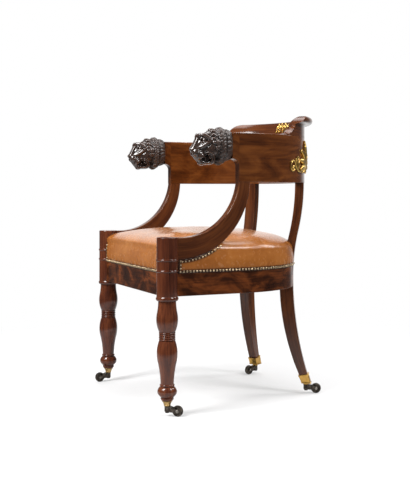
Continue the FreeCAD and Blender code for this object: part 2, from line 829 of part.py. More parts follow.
def build_axle(name, x, y, turn, half_fork):
    body = new_body(name, x, y, s.wheel_radius, turn)
    end = half_fork + s.rivet_height
    dome = bow(2 * s.rivet_radius, s.rivet_height)
    run = [(0, -end, dome), (s.rivet_radius, -half_fork), (s.axle_radius, -half_fork),
           (s.axle_radius, half_fork), (s.rivet_radius, half_fork, dome), (0, end)]
    revolve(body, new_sketch(body, "profile", "XY_Plane", run))


def build_wheel(name, x, y, turn):
    body = new_body(name, x, y, s.wheel_radius, turn)
    half = s.wheel_width / 2
    web = half - s.wheel_dish
    hole = s.axle_radius + s.running_fit
    rim = s.wheel_radius - s.rim_depth
    edge = s.wheel_radius - s.tread_crown
    run = [(hole, -half), (s.hub_radius, -half), (s.hub_radius, -web), (rim, -web), (rim, -half),
           (edge, -half, bow(s.wheel_width, s.tread_crown)), (edge, half), (rim, half), (rim, web),
           (s.hub_radius, web), (s.hub_radius, half), (hole, half)]
    revolve(body, new_sketch(body, "profile", "XY_Plane", run))


def build_cup(name, side):
    # a brass cone that takes the spigot of the leg above and the tail of the pintle below
    body = new_body(name, side * s.half_width, leg_line)
    socket = s.spigot_radius + s.joint_gap
    floor = s.ankle_bottom - s.spigot_length - s.joint_gap
    hole = s.pintle_radius + s.running_fit
    hole_top = cup_bottom + s.pintle_tail + s.joint_gap
    run = [(hole, cup_bottom), (s.cup_foot_radius, cup_bottom), (s.cup_radius, s.ankle_bottom),
           (socket, s.ankle_bottom), (socket, floor), (0, floor), (0, hole_top), (hole, hole_top)]
    revolve(body, new_sketch(body, "profile", "XZ_Plane", run))


def at_height(low, high, height):
    # point of a straight line at a height
    share = (height - low[1]) / (high[1] - low[1])
    return low[0] + (high[0] - low[0]) * share


def build_shoe(name, side):
    body = new_body(name, 0, s.seat_centre, 0, leg_turn if side > 0 else 180 - leg_turn)
    lines = rear_leg_lines()
    base = s.foot_height - s.shoe_floor
    back_top_edge = s.shoe_top + s.shoe_top_slope

    def front(height):
        return at_height(lines.front_foot, lines.front_sweep, height)

    def back(height):
        return at_height(lines.back_foot, lines.back_sweep, height)

    run = [(front(base) - s.shoe_wall, base), (back(base) + s.shoe_wall, base),
           (back(back_top_edge) + s.shoe_wall, back_top_edge), (front(s.shoe_top) - s.shoe_wall, s.shoe_top)]
    pad(body, new_sketch(body, "outside", "XZ_Plane", run), s.foot_width + 2 * s.shoe_wall, centred=True)
    bore(body, "Additive", "boss", s.shoe_boss_radius, pintle_reach, 0, (cup_bottom, base + s.joint_gap))
    floor = s.foot_height - s.joint_gap
    top = s.sweep_height
    run = [(front(floor) - s.joint_gap, floor), (back(floor) + s.joint_gap, floor),
           (back(top) + s.joint_gap, top), (front(top) - s.joint_gap, top)]
    pocket(body, new_sketch(body, "socket", "XZ_Plane", run), s.foot_width + 2 * s.joint_gap)
    bore(body, "Subtractive", "pintle_hole", s.pintle_radius + s.running_fit, pintle_reach, 0,
         (cup_bottom - s.cut_over, cup_bottom + s.pintle_tail + s.joint_gap))


# Stations of the carved head from the nape to the nose: distance forward as a share of the length,
# half width as a share of the half width, underside and top as shares of the height.
head_stations = (
    (0.00, 0.60, 0.18, 0.885),
    (0.12, 0.76, 0.13, 0.955),
    (0.26, 0.84, 0.11, 0.985),
    (0.40, 0.82, 0.12, 0.985),
    (0.54, 0.75, 0.15, 0.950),
    (0.68, 0.62, 0.19, 0.870),
    (0.80, 0.52, 0.22, 0.740),
    (0.91, 0.42, 0.24, 0.570),
    (1.00, 0.26, 0.33, 0.460),
)

# Lumps on the head: forward, across and up in the same shares, then the three radii and a tilt in
# degrees that lowers the front. What lies off the middle line comes in pairs.
head_lumps = (
    # brows, muzzle pads, cheeks and nose
    (0.74, 0.32, 0.75, 0.080, 0.22, 0.058, 20),
    (0.65, 0.50, 0.74, 0.080, 0.20, 0.058, -15),
    (0.85, 0.22, 0.33, 0.100, 0.26, 0.126, 0),
    (0.52, 0.50, 0.42, 0.153, 0.35, 0.214, 0),
    (0.94, 0.00, 0.39, 0.060, 0.27, 0.073, 0),
    # jaw, chin, flews and the bridge of the nose
    (0.50, 0.00, 0.14, 0.145, 0.47, 0.126, -10),
    (0.63, 0.00, 0.08, 0.153, 0.37, 0.087, -8),
    (0.73, 0.00, 0.05, 0.073, 0.30, 0.073, 0),
    (0.78, 0.31, 0.22, 0.097, 0.24, 0.107, 0),
    (0.85, 0.12, 0.55, 0.169, 0.19, 0.073, 58),
    # beard, knobs of hair beside the face, and the ruff
    (0.29, 0.22, 0.12, 0.105, 0.25, 0.092, 0),
    (0.51, 0.60, 0.76, 0.040, 0.12, 0.047, 0),
    (0.53, 0.72, 0.56, 0.040, 0.12, 0.047, 0),
    (0.30, 0.00, 0.54, 0.073, 0.90, 0.455, 0),
)

# hollows of the eye sockets, and the eyes in them, in the same shares
head_hollows = (
    (0.75, 0.48, 0.64, 0.073, 0.20, 0.063, 0),
)
head_eyes = (
    (0.71, 0.37, 0.64, 0.052, 0.16, 0.054, 0),
)

# knots of hair behind the face: forward as a share of the length, and degrees from the top
head_curls = (
    (0.40, 33),
    (0.41, 56),
    (0.42, 80),
    (0.42, 106),
)


def ellipsoid(centre, radii, tilt):
    matrix = FreeCAD.Matrix()
    matrix.scale(vector(*radii))
    ball = Part.makeSphere(1).transformGeometry(matrix)
    ball.rotate(vector(), vector(1, 0, 0), tilt)
    ball.translate(centre)
    return ball


def head_joint():
    return (s.seat_centre - s.head_joint_reach - s.joint_gap).value


def head_balls(row):
    # one lump of the head, or a pair of them
    forward, across, up, long, wide, tall, tilt = row
    half = s.head_width.value / 2
    length = s.head_length.value
    height = s.head_height.value
    balls = []
    for hand in (1, -1) if across else (1,):
        centre = vector(hand * across * half, head_joint() - forward * length,
                        s.head_bottom.value + up * height)
        balls.append(ellipsoid(centre, (wide * half, long * length, tall * height), tilt))
    return balls


def head_mouth():
    # a slot with round ends, right through from cheek to cheek
    half = (s.mouth_height / 2).value
    run = (s.mouth_length / 2).value - half
    centre = vector(-s.head_width.value, head_joint() - s.mouth_reach.value,
                    (s.head_bottom + s.mouth_rise).value)

    def spot(along, up):
        return centre + vector(0, along, up)

    edges = (Part.LineSegment(spot(-run, -half), spot(run, -half)),
             Part.Arc(spot(run, -half), spot(run + half, 0), spot(run, half)),
             Part.LineSegment(spot(run, half), spot(-run, half)),
             Part.Arc(spot(-run, half), spot(-run - half, 0), spot(-run, -half)))
    face = Part.Face(Part.Wire([edge.toShape() for edge in edges]))
    return face.extrude(vector(2 * s.head_width.value, 0, 0))


def head_knots(forward, degrees):
    turn = math.radians(degrees)
    up = (s.head_bottom + s.curl_axis).value + math.cos(turn) * s.curl_up.value
    knots = []
    for hand in (1, -1):
        spot = vector(hand * math.sin(turn) * s.curl_across.value,
                      head_joint() - forward * s.head_length.value, up)
        knots.append(Part.makeSphere(s.curl_radius.value, spot))
    return knots


def head_shape():
    height = s.head_height.value
    rings = []
    for forward, wide, low, high in head_stations:
        centre = vector(0, head_joint() - forward * s.head_length.value,
                        s.head_bottom.value + (low + high) / 2 * height)
        tall = (high - low) / 2 * height
        across = wide * s.head_width.value / 2
        if across > tall:
            oval = Part.Ellipse(centre + vector(across, 0, 0), centre + vector(0, 0, tall), centre)
        else:
            oval = Part.Ellipse(centre + vector(0, 0, tall), centre + vector(across, 0, 0), centre)
        rings.append(Part.Wire(oval.toShape()))
    head = Part.makeLoft(rings, True)
    for row in head_lumps:
        head = head.multiFuse(head_balls(row))
    head = head.cut(head_mouth())
    for row in head_hollows:
        head = head.cut(head_balls(row))
    for row in head_eyes:
        head = head.multiFuse(head_balls(row))
    for curl in head_curls:
        head = head.multiFuse(head_knots(*curl))
    low = s.back_bottom + s.throat_rise + (s.back_height - s.throat_rise - s.head_tenon_height) / 2
    gap = s.joint_gap.value
    mortise = Part.makeBox(s.tenon_thickness.value + 2 * gap, s.head_tenon_length.value + 2 * gap,
                           s.head_tenon_height.value + 2 * gap,
                           vector(-half_tenon.value - gap, head_joint() - s.head_tenon_length.value,
                                  low.value - gap))
    return head.cut(mortise)


def build_heads():
    shape = head_shape()
    for name, side in sides.items():
        feature = new_feature(f"lion_head_{name}", shape)
        feature.Placement = FreeCAD.Placement(vector(side * s.half_width.value, 0, 0), FreeCAD.Rotation())


def disc(x, z, radius, tall=None):
    # a round or oval rod along Y, for a mount drawn in the XZ plane
    depth = 2 * outer_radius.value
    rod = Part.makeCylinder(radius, depth, vector(), vector(0, 1, 0))
    if tall is not None:
        matrix = FreeCAD.Matrix()
        matrix.scale(vector(1, 1, tall / radius))
        rod = rod.transformGeometry(matrix)
    rod.translate(vector(x, 0, z))
    return rod


def bar(x, z, wide, tall):
    return Part.makeBox(wide, 2 * outer_radius.value, tall, vector(x - wide / 2, 0, z - tall / 2))


def hoop(x, z, radius, width):
    return disc(x, z, radius + width / 2).cut(disc(x, z, radius - width / 2))


def palmette(foot, height, width):
    # petals that fan out from one foot, the outer ones shorter
    petals = []
    count = int(s.petal_count.value)
    for index in range(count):
        lean = 2 * index / (count - 1) - 1
        length = height * (1 - s.petal_shortening.value * abs(lean))
        petal = disc(0, length / 2, width / 2, length / 2)
        petal.rotate(vector(), vector(0, 1, 0), lean * s.petal_spread.value)
        petal.translate(vector(0, 0, foot))
        petals.append(petal)
    return petals


def build_crest_mount():
    # a thin band that lies on the rolled face of the crest, cut to a palmette between scrolls
    bend = sweep((inner_radius, s.crest_face_height), (inner_radius + s.crest_lean, s.crest_height)).value
    centre = vector(0, inner_radius.value + bend, s.crest_face_height.value)
    top = math.asin((s.crest_height - s.crest_face_height).value / bend)
    under = bend + s.joint_gap.value
    rows = []
    for radius in (under, under + s.mount_thickness.value):
        rows.append([centre + vector(0, -math.cos(turn), math.sin(turn)) * radius
                     for turn in (0, top / 2, top)])
    edges = [Part.Arc(*row).toShape() for row in rows]
    edges += [Part.LineSegment(rows[0][index], rows[1][index]).toShape() for index in (0, -1)]
    band = Part.Face(Part.Wire(Part.__sortEdges__(edges)))
    sweep_angle = 2 * s.crest_half_angle.value
    band.rotate(vector(), vector(0, 0, 1), -sweep_angle / 2)
    band = band.revolve(vector(), vector(0, 0, 1), sweep_angle)
    foot = s.crest_mount_rise.value
    shapes = palmette(foot, s.crest_palmette_height.value, s.crest_petal_width.value)
    middle = foot + s.scroll_rise.value
    count = int(s.scroll_count.value)
    pitch = s.scroll_pitch.value
    start = s.crest_palmette_height.value * (1 - s.petal_shortening.value)
    shapes.append(bar(0, middle, 2 * (start + pitch * (count - 1)), s.stem_width.value))
    for index in range(count):
        radius = s.scroll_radius.value * (1 - index / (2 * count))
        x = start + pitch * index
        shapes += [disc(x, middle, radius), disc(-x, middle, radius)]
    mount = band.common(shapes[0].multiFuse(shapes[1:]))
    mount.translate(vector(0, back_centre.value, back_top.value))
    new_feature("crest_mount", mount)


def build_back_mounts():
    # a palmette, and on each side a tendril that carries a leaf and ends in a volute
    inside = outer_radius.value + s.joint_gap.value
    tall = s.back_height.value
    core = Part.makeCylinder(inside, tall)
    foot = s.back_mount_rise.value
    radius = s.tendril_radius.value
    width = s.tendril_width.value
    drop = foot + radius
    fan = palmette(foot, s.back_palmette_height.value, s.back_petal_width.value)
    sprays = []
    for hand in (1, -1):
        x = hand * s.tendril_offset.value
        sprays.append(hoop(x, drop, radius, width).cut(bar(x, drop + 2 * radius, 4 * radius, 4 * radius)))
        inner = s.tendril_offset.value - radius
        sprays.append(bar(hand * inner / 2, drop, inner, width))
        leaf = s.leaf_height.value / 2
        sprays.append(disc(x, foot + leaf, s.leaf_width.value / 2, leaf))
        swing = math.radians(s.volute_angle.value)
        reach = radius + s.volute_radius.value
        sprays.append(hoop(x + hand * reach * math.cos(swing), drop - reach * math.sin(swing),
                           s.volute_radius.value, width))
    layers = []
    for thickness, pieces in ((s.palmette_thickness, fan), (s.mount_thickness, sprays)):
        shell = Part.makeCylinder(inside + thickness.value, tall).cut(core)
        layers.append(shell.common(pieces[0].multiFuse(pieces[1:])))
    mount = layers[0].fuse(layers[1])
    lean = math.degrees(math.atan2((stile_reach * s.rear_leg_angle.sine()).value,
                                   (stile_reach * s.rear_leg_angle.cosine() - s.back_setback).value))
    for name, side in sides.items():
        feature = new_feature(f"back_mount_{name}", mount)
        feature.Placement = FreeCAD.Placement(vector(0, back_centre.value, s.back_bottom.value),
                                              FreeCAD.Rotation(vector(0, 0, 1), -side * lean))


def run_wire(run):
    # the closed run of a sketch as a wire in the XY plane
    edges = []
    for index, corner in enumerate(run):
        following = run[(index + 1) % len(run)]
        start = vector(dim(corner[0]).value, dim(corner[1]).value, 0)
        end = vector(dim(following[0]).value, dim(following[1]).value, 0)
        if len(corner) == 2:
            edges.append(Part.LineSegment(start, end).toShape())
        else:
            edges.append(arc_between(start, end, dim(corner[2]).value).toShape())
    return Part.Wire(Part.__sortEdges__(edges))


def seat_wire(height, inset, front_inset, fall=0):
    # outline of the seat at a height, drawn in from the outer face of the rails; its front corners
    # grow rounder as it draws in, and fall tips it down towards the back, in degrees
    radius = seat_radius.value - inset
    middle = s.seat_centre.value
    front = (leg_line - s.rail_thickness / 2).value + front_inset
    corner = s.seat_corner.value + s.corner_growth.value * max(inset, 0)
    run = [(corner - radius, front), (radius - corner, front, corner), (radius, front + corner),
           (radius, middle, radius), (0, middle + radius, radius), (-radius, middle),
           (-radius, front + corner, corner)]
    wire = run_wire(run)
    wire.translate(vector(0, 0, height))
    wire.rotate(vector(0, leg_line.value, height), vector(1, 0, 0), -fall)
    return wire


def seat_dome(base, inwards):
    # the stuffed seat: sides that swell between the nails and the edge, then a crown whose section
    # is a quarter ellipse, fuller along the front; inwards shrinks it all round
    edge = s.seat_edge.value - inwards
    rise = s.seat_crown.value - s.seat_edge.value
    levels = [(base, inwards - s.seat_draw.value, inwards - s.seat_draw.value)]
    steps = int(s.swell_steps.value)
    for step in range(1, steps):
        swell = inwards - s.seat_swell.value * math.sin(math.pi * step / steps)
        levels.append((base + (edge - base) * step / steps, swell, swell, s.seat_fall.value * step / steps))
    steps = int(s.crown_steps.value)
    for step in range(steps + 1):
        turn = math.radians(s.crown_turn.value) * step / steps
        lean = 1 - math.cos(turn)
        levels.append((edge + rise * math.sin(turn), inwards + s.seat_span.value * lean,
                       inwards + s.seat_span.value * lean ** s.front_fullness.value, s.seat_fall.value))
    return Part.makeLoft([seat_wire(*level) for level in levels], True, True)


def seat_cutters(gap):
    # the space that the posts, the arms and the rear legs take out of the seat
    cutters = []
    tall = s.seat_crown.value
    arm_run = arm_outline()
    leg_wire = run_wire(rear_leg_run()).makeOffset2D(gap)
    width = s.rear_leg_width.value + 2 * gap
    for side in sides.values():
        foot = vector(side * s.half_width.value, leg_line.value, s.rail_bottom.value)
        cutters.append(Part.makeCylinder(s.post_radius.value + gap, tall, foot))
        for bead in (s.lower_bead, s.upper_bead):
            foot.z = bead.value - s.bead_height.value / 2 - gap
            cutters.append(Part.makeCylinder((s.post_radius + s.bead_rise).value + gap,
                                             s.bead_height.value + 2 * gap, foot))
        arm = Part.Face(run_wire(arm_run).makeOffset2D(gap))
        arm = arm.extrude(vector(0, 0, s.rail_proud.value + s.back_thickness.value + seat_radius.value))
        # the drawing's plane becomes YZ, and its depth becomes X
        arm.Placement = FreeCAD.Placement(vector(), FreeCAD.Rotation(vector(0, 1, 0), vector(0, 0, 1),
                                                                     vector(1, 0, 0), "XYZ"))
        start = s.half_width.value - s.back_thickness.value / 2 - gap
        arm.translate(vector(start, s.seat_centre.value, 0))
        if side < 0:
            arm = arm.mirror(vector(), vector(1, 0, 0))
        cutters.append(arm)
        leg = Part.Face(leg_wire).extrude(vector(0, 0, width))
        leg.Placement = FreeCAD.Placement(vector(0, width / 2, 0), FreeCAD.Rotation(vector(1, 0, 0), 90))
        frame = leg_frame(side)
        frame.Base = vector(0, s.seat_centre.value, 0)
        leg.Placement = frame.multiply(leg.Placement)
        cutters.append(leg)
    return cutters


def build_seat():
    gap = s.seat_gap.value
    cutters = seat_cutters(gap)
    web = s.web_thickness.value
    base = rail_top.value
    straps = base + s.joint_gap.value
    cloth = straps + 2 * web + s.joint_gap.value
    stuffing = cloth + s.cloth_thickness.value + s.joint_gap.value
    skin = s.leather_thickness.value
    leather = seat_dome(base + s.joint_gap.value, 0).cut(seat_dome(base - s.cut_over.value, skin))
    new_feature("seat_leather", leather.cut(cutters))
    new_feature("seat_stuffing", seat_dome(stuffing, skin + gap).cut(cutters))
    sheet_wire = seat_wire(cloth, s.web_margin.value, s.web_margin.value)
    sheet_face = Part.Face(sheet_wire)
    new_feature("seat_hessian", sheet_face.extrude(vector(0, 0, s.cloth_thickness.value)).cut(cutters))
    # straps of webbing from front to back, and straps from side to side that lie on them
    plan = Part.Face(seat_wire(straps, s.web_margin.value, s.web_margin.value))
    lower = plan.extrude(vector(0, 0, web))
    upper = lower.translated(vector(0, 0, web))
    count = int(s.web_count.value)
    length = 4 * seat_radius.value
    pieces = []
    for index in range(count):
        offset = (index - (count - 1) / 2) * s.web_pitch.value
        wide = s.web_width.value
        low = straps - web
        along = Part.makeBox(wide, length, 4 * web, vector(offset - wide / 2, -length / 2, low))
        across = Part.makeBox(length, wide, 4 * web,
                              vector(-length / 2, s.seat_centre.value + offset - wide / 2, low))
        pieces += [lower.common(along), upper.common(across)]
    new_feature("seat_webbing", Part.makeCompound([piece.cut(cutters) for piece in pieces]))


def finish():
    doc.recompute()
    for item in doc.Objects:
        if any(flag in ("Invalid", "Error") for flag in item.State):
            raise RuntimeError(f"{item.Name} failed: {item.State}")
    os.makedirs("parts", exist_ok=True)
    for node in nodes:
        if node.Shape.isNull() or not node.Shape.isValid() or not node.Shape.Solids:
            raise RuntimeError(f"{node.Label} has no valid shape")
        node.Shape.exportStep(os.path.join("parts", f"{node.Label}.step"))
        print(node.Label, len(node.Shape.Solids), round(node.Shape.Volume))


for name, side in sides.items():
    build_front_leg(f"front_leg_{name}", side)
    build_rear_leg(f"rear_leg_{name}", side)
    build_side_rail(f"side_seat_rail_{name}", side)
    build_corner_block(f"corner_block_{name}", side)
    build_arm(f"arm_{name}", side)
build_front_rail()
build_rear_rail()
build_back()
build_crest()
build_dowels()
build_heads()
build_crest_mount()
build_back_mounts()
build_seat()
for name, side in sides.items():
    build_cup(f"front_cup_{name}", side)
    build_shoe(f"rear_sabot_{name}", side)
for name, (x, y, turn) in caster_spots().items():
    build_caster(name, x, y, turn)
finish()
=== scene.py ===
import json
import math
import bpy
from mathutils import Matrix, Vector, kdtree
import numpy as np


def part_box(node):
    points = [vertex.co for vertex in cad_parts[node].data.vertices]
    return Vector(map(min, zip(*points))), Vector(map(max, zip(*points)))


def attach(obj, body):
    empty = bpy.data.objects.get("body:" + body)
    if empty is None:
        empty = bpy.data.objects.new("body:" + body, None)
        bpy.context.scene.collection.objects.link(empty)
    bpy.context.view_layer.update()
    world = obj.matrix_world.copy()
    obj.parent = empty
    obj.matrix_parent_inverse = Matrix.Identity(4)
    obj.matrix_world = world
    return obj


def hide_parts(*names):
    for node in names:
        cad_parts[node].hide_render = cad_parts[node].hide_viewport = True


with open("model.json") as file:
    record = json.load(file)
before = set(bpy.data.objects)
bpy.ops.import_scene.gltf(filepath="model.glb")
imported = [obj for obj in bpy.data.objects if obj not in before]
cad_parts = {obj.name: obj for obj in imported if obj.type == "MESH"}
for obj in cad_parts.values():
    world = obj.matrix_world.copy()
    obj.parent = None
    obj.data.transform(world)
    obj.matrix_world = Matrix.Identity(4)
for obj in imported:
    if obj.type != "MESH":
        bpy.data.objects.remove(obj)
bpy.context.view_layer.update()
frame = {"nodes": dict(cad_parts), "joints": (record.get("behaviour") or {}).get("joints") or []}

# A desk armchair with a horseshoe back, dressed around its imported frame.
# The front faces -Y and +X is the sitter's left. Lengths are metres, carving is worked out in millimetres.

millimetre = 0.001

# places read from the frame
postLow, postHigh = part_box("front_leg_left")
yokeLow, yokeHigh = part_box("back_yoke")
railLow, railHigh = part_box("front_seat_rail")
crestLow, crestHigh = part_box("crest_rail")
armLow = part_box("arm_left")[0]
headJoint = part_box("lion_head_left")[1].y
halfWidth = (postLow.x + postHigh.x) / 2
legLine = (postLow.y + postHigh.y) / 2
postRadius = (postHigh.x - postLow.x) / 2
outerRadius = yokeHigh.x
backCentre = yokeHigh.y - outerRadius
backThickness = 2 * (outerRadius - halfWidth)
innerRadius = outerRadius - backThickness
yokeBottom = yokeLow.z / millimetre
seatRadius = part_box("side_seat_rail_left")[1].x
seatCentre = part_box("rear_seat_rail")[1].y - seatRadius
seatMiddle = np.array([0, seatCentre, 0])
railThickness = railHigh.y - railLow.y
railMiddle = seatRadius - railThickness / 2
railFront = legLine - railThickness / 2
sides = {"left": 1, "right": -1}
upward, rightSide = (0.0, 0.0, 1.0), (1.0, 0.0, 0.0)


# shapes as grids of points

def unit(ways):
    # vectors over their length
    return ways / np.maximum(np.linalg.norm(ways, axis=-1, keepdims=True), 1e-9)


def partWay(value, low, high):
    # 0 below low, 1 above high, and even between them
    return np.clip((value - low) / (high - low), 0, 1)


def columnOf(fixed, moving):
    # plan points with one x and a run of y
    return np.stack([np.full(len(moving), fixed), moving], -1)


def arcPoints(start, end, radius, count):
    # points of the arc from start to end: positive radius turns left, negative turns right
    start, end = np.array(start, float), np.array(end, float)
    chord = end - start
    length = np.hypot(*chord)
    side = np.array([-chord[1], chord[0]]) / length
    offset = math.copysign(math.sqrt(max(radius ** 2 - length ** 2 / 4, 0)), radius)
    centre = (start + end) / 2 + side * offset
    first = math.atan2(*(start - centre)[::-1])
    turn = math.copysign(2 * math.asin(min(length / 2 / abs(radius), 1)), radius)
    angles = first + turn * np.linspace(0, 1, count)
    return centre + abs(radius) * np.stack([np.cos(angles), np.sin(angles)], -1)


def bulgeRun(corners, count):
    # a run of corners (x, y, bulge): each stretch is its chord plus bulge * 4t(1 - t) along the chord's right
    stretches = []
    t = np.linspace(0, 1, count, endpoint=False)[:, None]
    for (x0, y0, bulge), (x1, y1, _) in zip(corners[:-1], corners[1:]):
        start, chord = np.array([x0, y0]), np.array([x1 - x0, y1 - y0])
        right = unit(np.array([chord[1], -chord[0]]))
        steps = t if bulge else t[:1]
        stretches.append(start + chord * steps + right * bulge * 4 * steps * (1 - steps))
    stretches.append(np.array([corners[-1][:2]]))
    return np.concatenate(stretches)


def sectionColumns(steps=4):
    # columns round a rounded rectangle: corner signs, arc direction, and where a margin slides along a side
    columns = []
    for number, (signX, signZ) in enumerate(((1, 1), (-1, 1), (-1, -1), (1, -1))):
        first = number * math.pi / 2
        odd = number % 2
        columns.append((signX, signZ, math.cos(first), math.sin(first), odd, 1 - odd, 0))
        for step in range(steps + 1):
            angle = first + math.pi / 2 * step / steps
            columns.append((signX, signZ, math.cos(angle), math.sin(angle), 0, 0, 1))
        angle = first + math.pi / 2
        columns.append((signX, signZ, math.cos(angle), math.sin(angle), 1 - odd, odd, 0))
    return np.array(columns, float).T


def roundBar(centre, across, up, width, height, radius, margin=0.0008):
    # a bar along a path: every ring is centre + across * u + up * v, with (u, v) on a rounded rectangle
    signX, signZ, cosine, sine, slideX, slideZ, arc = sectionColumns()
    across, up = [np.broadcast_to(np.asarray(way, float), centre.shape) for way in (across, up)]
    width, height = [np.asarray(size, float).reshape(-1, 1) * np.ones((len(centre), 1))
                     for size in (width, height)]
    u = signX * (width / 2 - radius) + radius * cosine - margin * signX * slideX
    v = signZ * (height / 2 - radius) + radius * sine - margin * signZ * slideZ
    rings = centre[:, None] + across[:, None] * u[..., None] + up[:, None] * v[..., None]
    along = np.concatenate([[0], np.cumsum(np.linalg.norm(np.diff(centre, axis=0), axis=1))])
    grain = np.stack([np.broadcast_to(along[:, None], u.shape), u, v], -1)
    return rings, grain, np.broadcast_to(arc, u.shape)


def gridQuads(rows, columns):
    # quads of a grid whose rows close on themselves: a column and the next, in a row and the one after
    row = np.arange(rows - 1)[:, None] * columns
    column = np.arange(columns)
    following = (column + 1) % columns
    return np.stack([row + column, row + following, row + columns + following, row + columns + column],
                    -1).reshape(-1, 4)


def capped(rings, *values):
    # a closed skin over rings: quads between them and a fan at each end, with the same mean for each value
    rows, columns = rings.shape[:2]
    total = rows * columns
    quads = gridQuads(rows, columns)
    column = np.arange(columns)
    following = (column + 1) % columns
    last = total - columns
    first = np.stack([np.full(columns, total), following, column], -1)
    end = np.stack([np.full(columns, total + 1), last + column, last + following], -1)
    stacked = []
    for value in (rings, *values):
        flat = value.reshape((total,) + value.shape[2:])
        ends = np.stack([value[0].mean(0), value[-1].mean(0)])
        stacked.append(np.concatenate([flat, ends]))
    return stacked[0], quads, np.concatenate([first, end]), stacked[1:]


def signedVolume(points, quads, tris):
    # a sixth of the sum of a . (b x c) over all triangles
    corner = points[np.concatenate([tris, quads[:, [0, 1, 2]], quads[:, [0, 2, 3]]])]
    return np.einsum("ij,ij->i", corner[:, 0], np.cross(corner[:, 1], corner[:, 2])).sum() / 6


noFaces = np.zeros((0, 3), int)


def placed(name, data):
    # a new object in the scene
    made = bpy.data.objects.new(name, data)
    bpy.context.scene.collection.objects.link(made)
    return made


def makePiece(name, points, quads, tris, material, slotName, nodes=(), body="chair_frame", sharp=38,
              **values):
    # one mesh from whole arrays; values become point attributes that the materials read
    if signedVolume(points, quads, tris) < 0:
        quads, tris = quads[:, ::-1], tris[:, ::-1]
    corner = np.concatenate([quads.ravel(), tris.ravel()]).astype(np.int32)
    sizes = np.concatenate([np.full(len(quads), 4), np.full(len(tris), 3)])
    mesh = bpy.data.meshes.new(name)
    mesh.vertices.add(len(points))
    mesh.vertices.foreach_set("co", points.astype(np.float32).ravel())
    mesh.loops.add(len(corner))
    mesh.loops.foreach_set("vertex_index", corner)
    mesh.polygons.add(len(sizes))
    mesh.polygons.foreach_set("loop_start", np.concatenate([[0], np.cumsum(sizes)[:-1]]).astype(np.int32))
    mesh.update(calc_edges=True)
    mesh.validate()
    mesh.polygons.foreach_set("use_smooth", np.ones(len(mesh.polygons), bool))
    mesh.set_sharp_from_angle(angle=math.radians(sharp))
    for label, value in values.items():
        kind = "FLOAT" if value.ndim == 1 else "FLOAT_VECTOR"
        layer = mesh.attributes.new(label, kind, "POINT")
        layer.data.foreach_set("value" if value.ndim == 1 else "vector", value.astype(np.float32).ravel())
    mesh.materials.append(material)
    piece = placed(name, mesh)
    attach(piece, body)
    if nodes:
        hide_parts(*nodes)
    return piece


def ringPiece(name, rings, material, slotName, nodes, sharp=38, **values):
    # a closed skin over rings, with its values given ring by ring
    points, quads, tris, capValues = capped(rings, *values.values())
    return makePiece(name, points, quads, tris, material, slotName, nodes, sharp=sharp,
                     **dict(zip(values, capValues)))


def barPiece(name, bar, material, nodes, shift):
    # a wooden bar; the shift takes its grain from another place in the wood
    rings, grain, arc = bar
    grain = grain + np.array([shift, shift / 3, shift / 7])
    return ringPiece(name, rings, material, "mahogany", nodes, grain=grain, wear=arc)


def dressNode(node, finish):
    # a node that keeps its frame shape and gets a material of the scene
    materials = frame["nodes"][node].data.materials
    materials.clear()
    materials.append(finish)


def turnedRings(profile, columns, origin, axis, side):
    # a profile of (radius, height) turned about an axis through origin
    axis, side = np.array(axis, float), np.array(side, float)
    third = np.cross(axis, side)
    angle = np.linspace(0, 2 * math.pi, columns, endpoint=False)
    ring = np.cos(angle)[:, None] * side + np.sin(angle)[:, None] * third
    return np.array(origin) + profile[:, :1, None] * ring[None] + profile[:, 1:, None] * axis


def joined(*shells):
    # several skins in one set of arrays
    points, quads, tris, offset = [], [], [], 0
    for shellPoints, shellQuads, shellTris in shells:
        points.append(shellPoints)
        quads.append(shellQuads + offset)
        tris.append(shellTris + offset)
        offset += len(shellPoints)
    return np.concatenate(points), np.concatenate(quads), np.concatenate(tris)


carvingSet = dict(empty=50, ballMargin=4, strandMargin=3, ray=(0, 80, 0.25), curlPoints=18, curlShrink=0.85,
                  curlRise=2.2, curlTaper=(0.7, 1, 1, 0.8), clip=6)


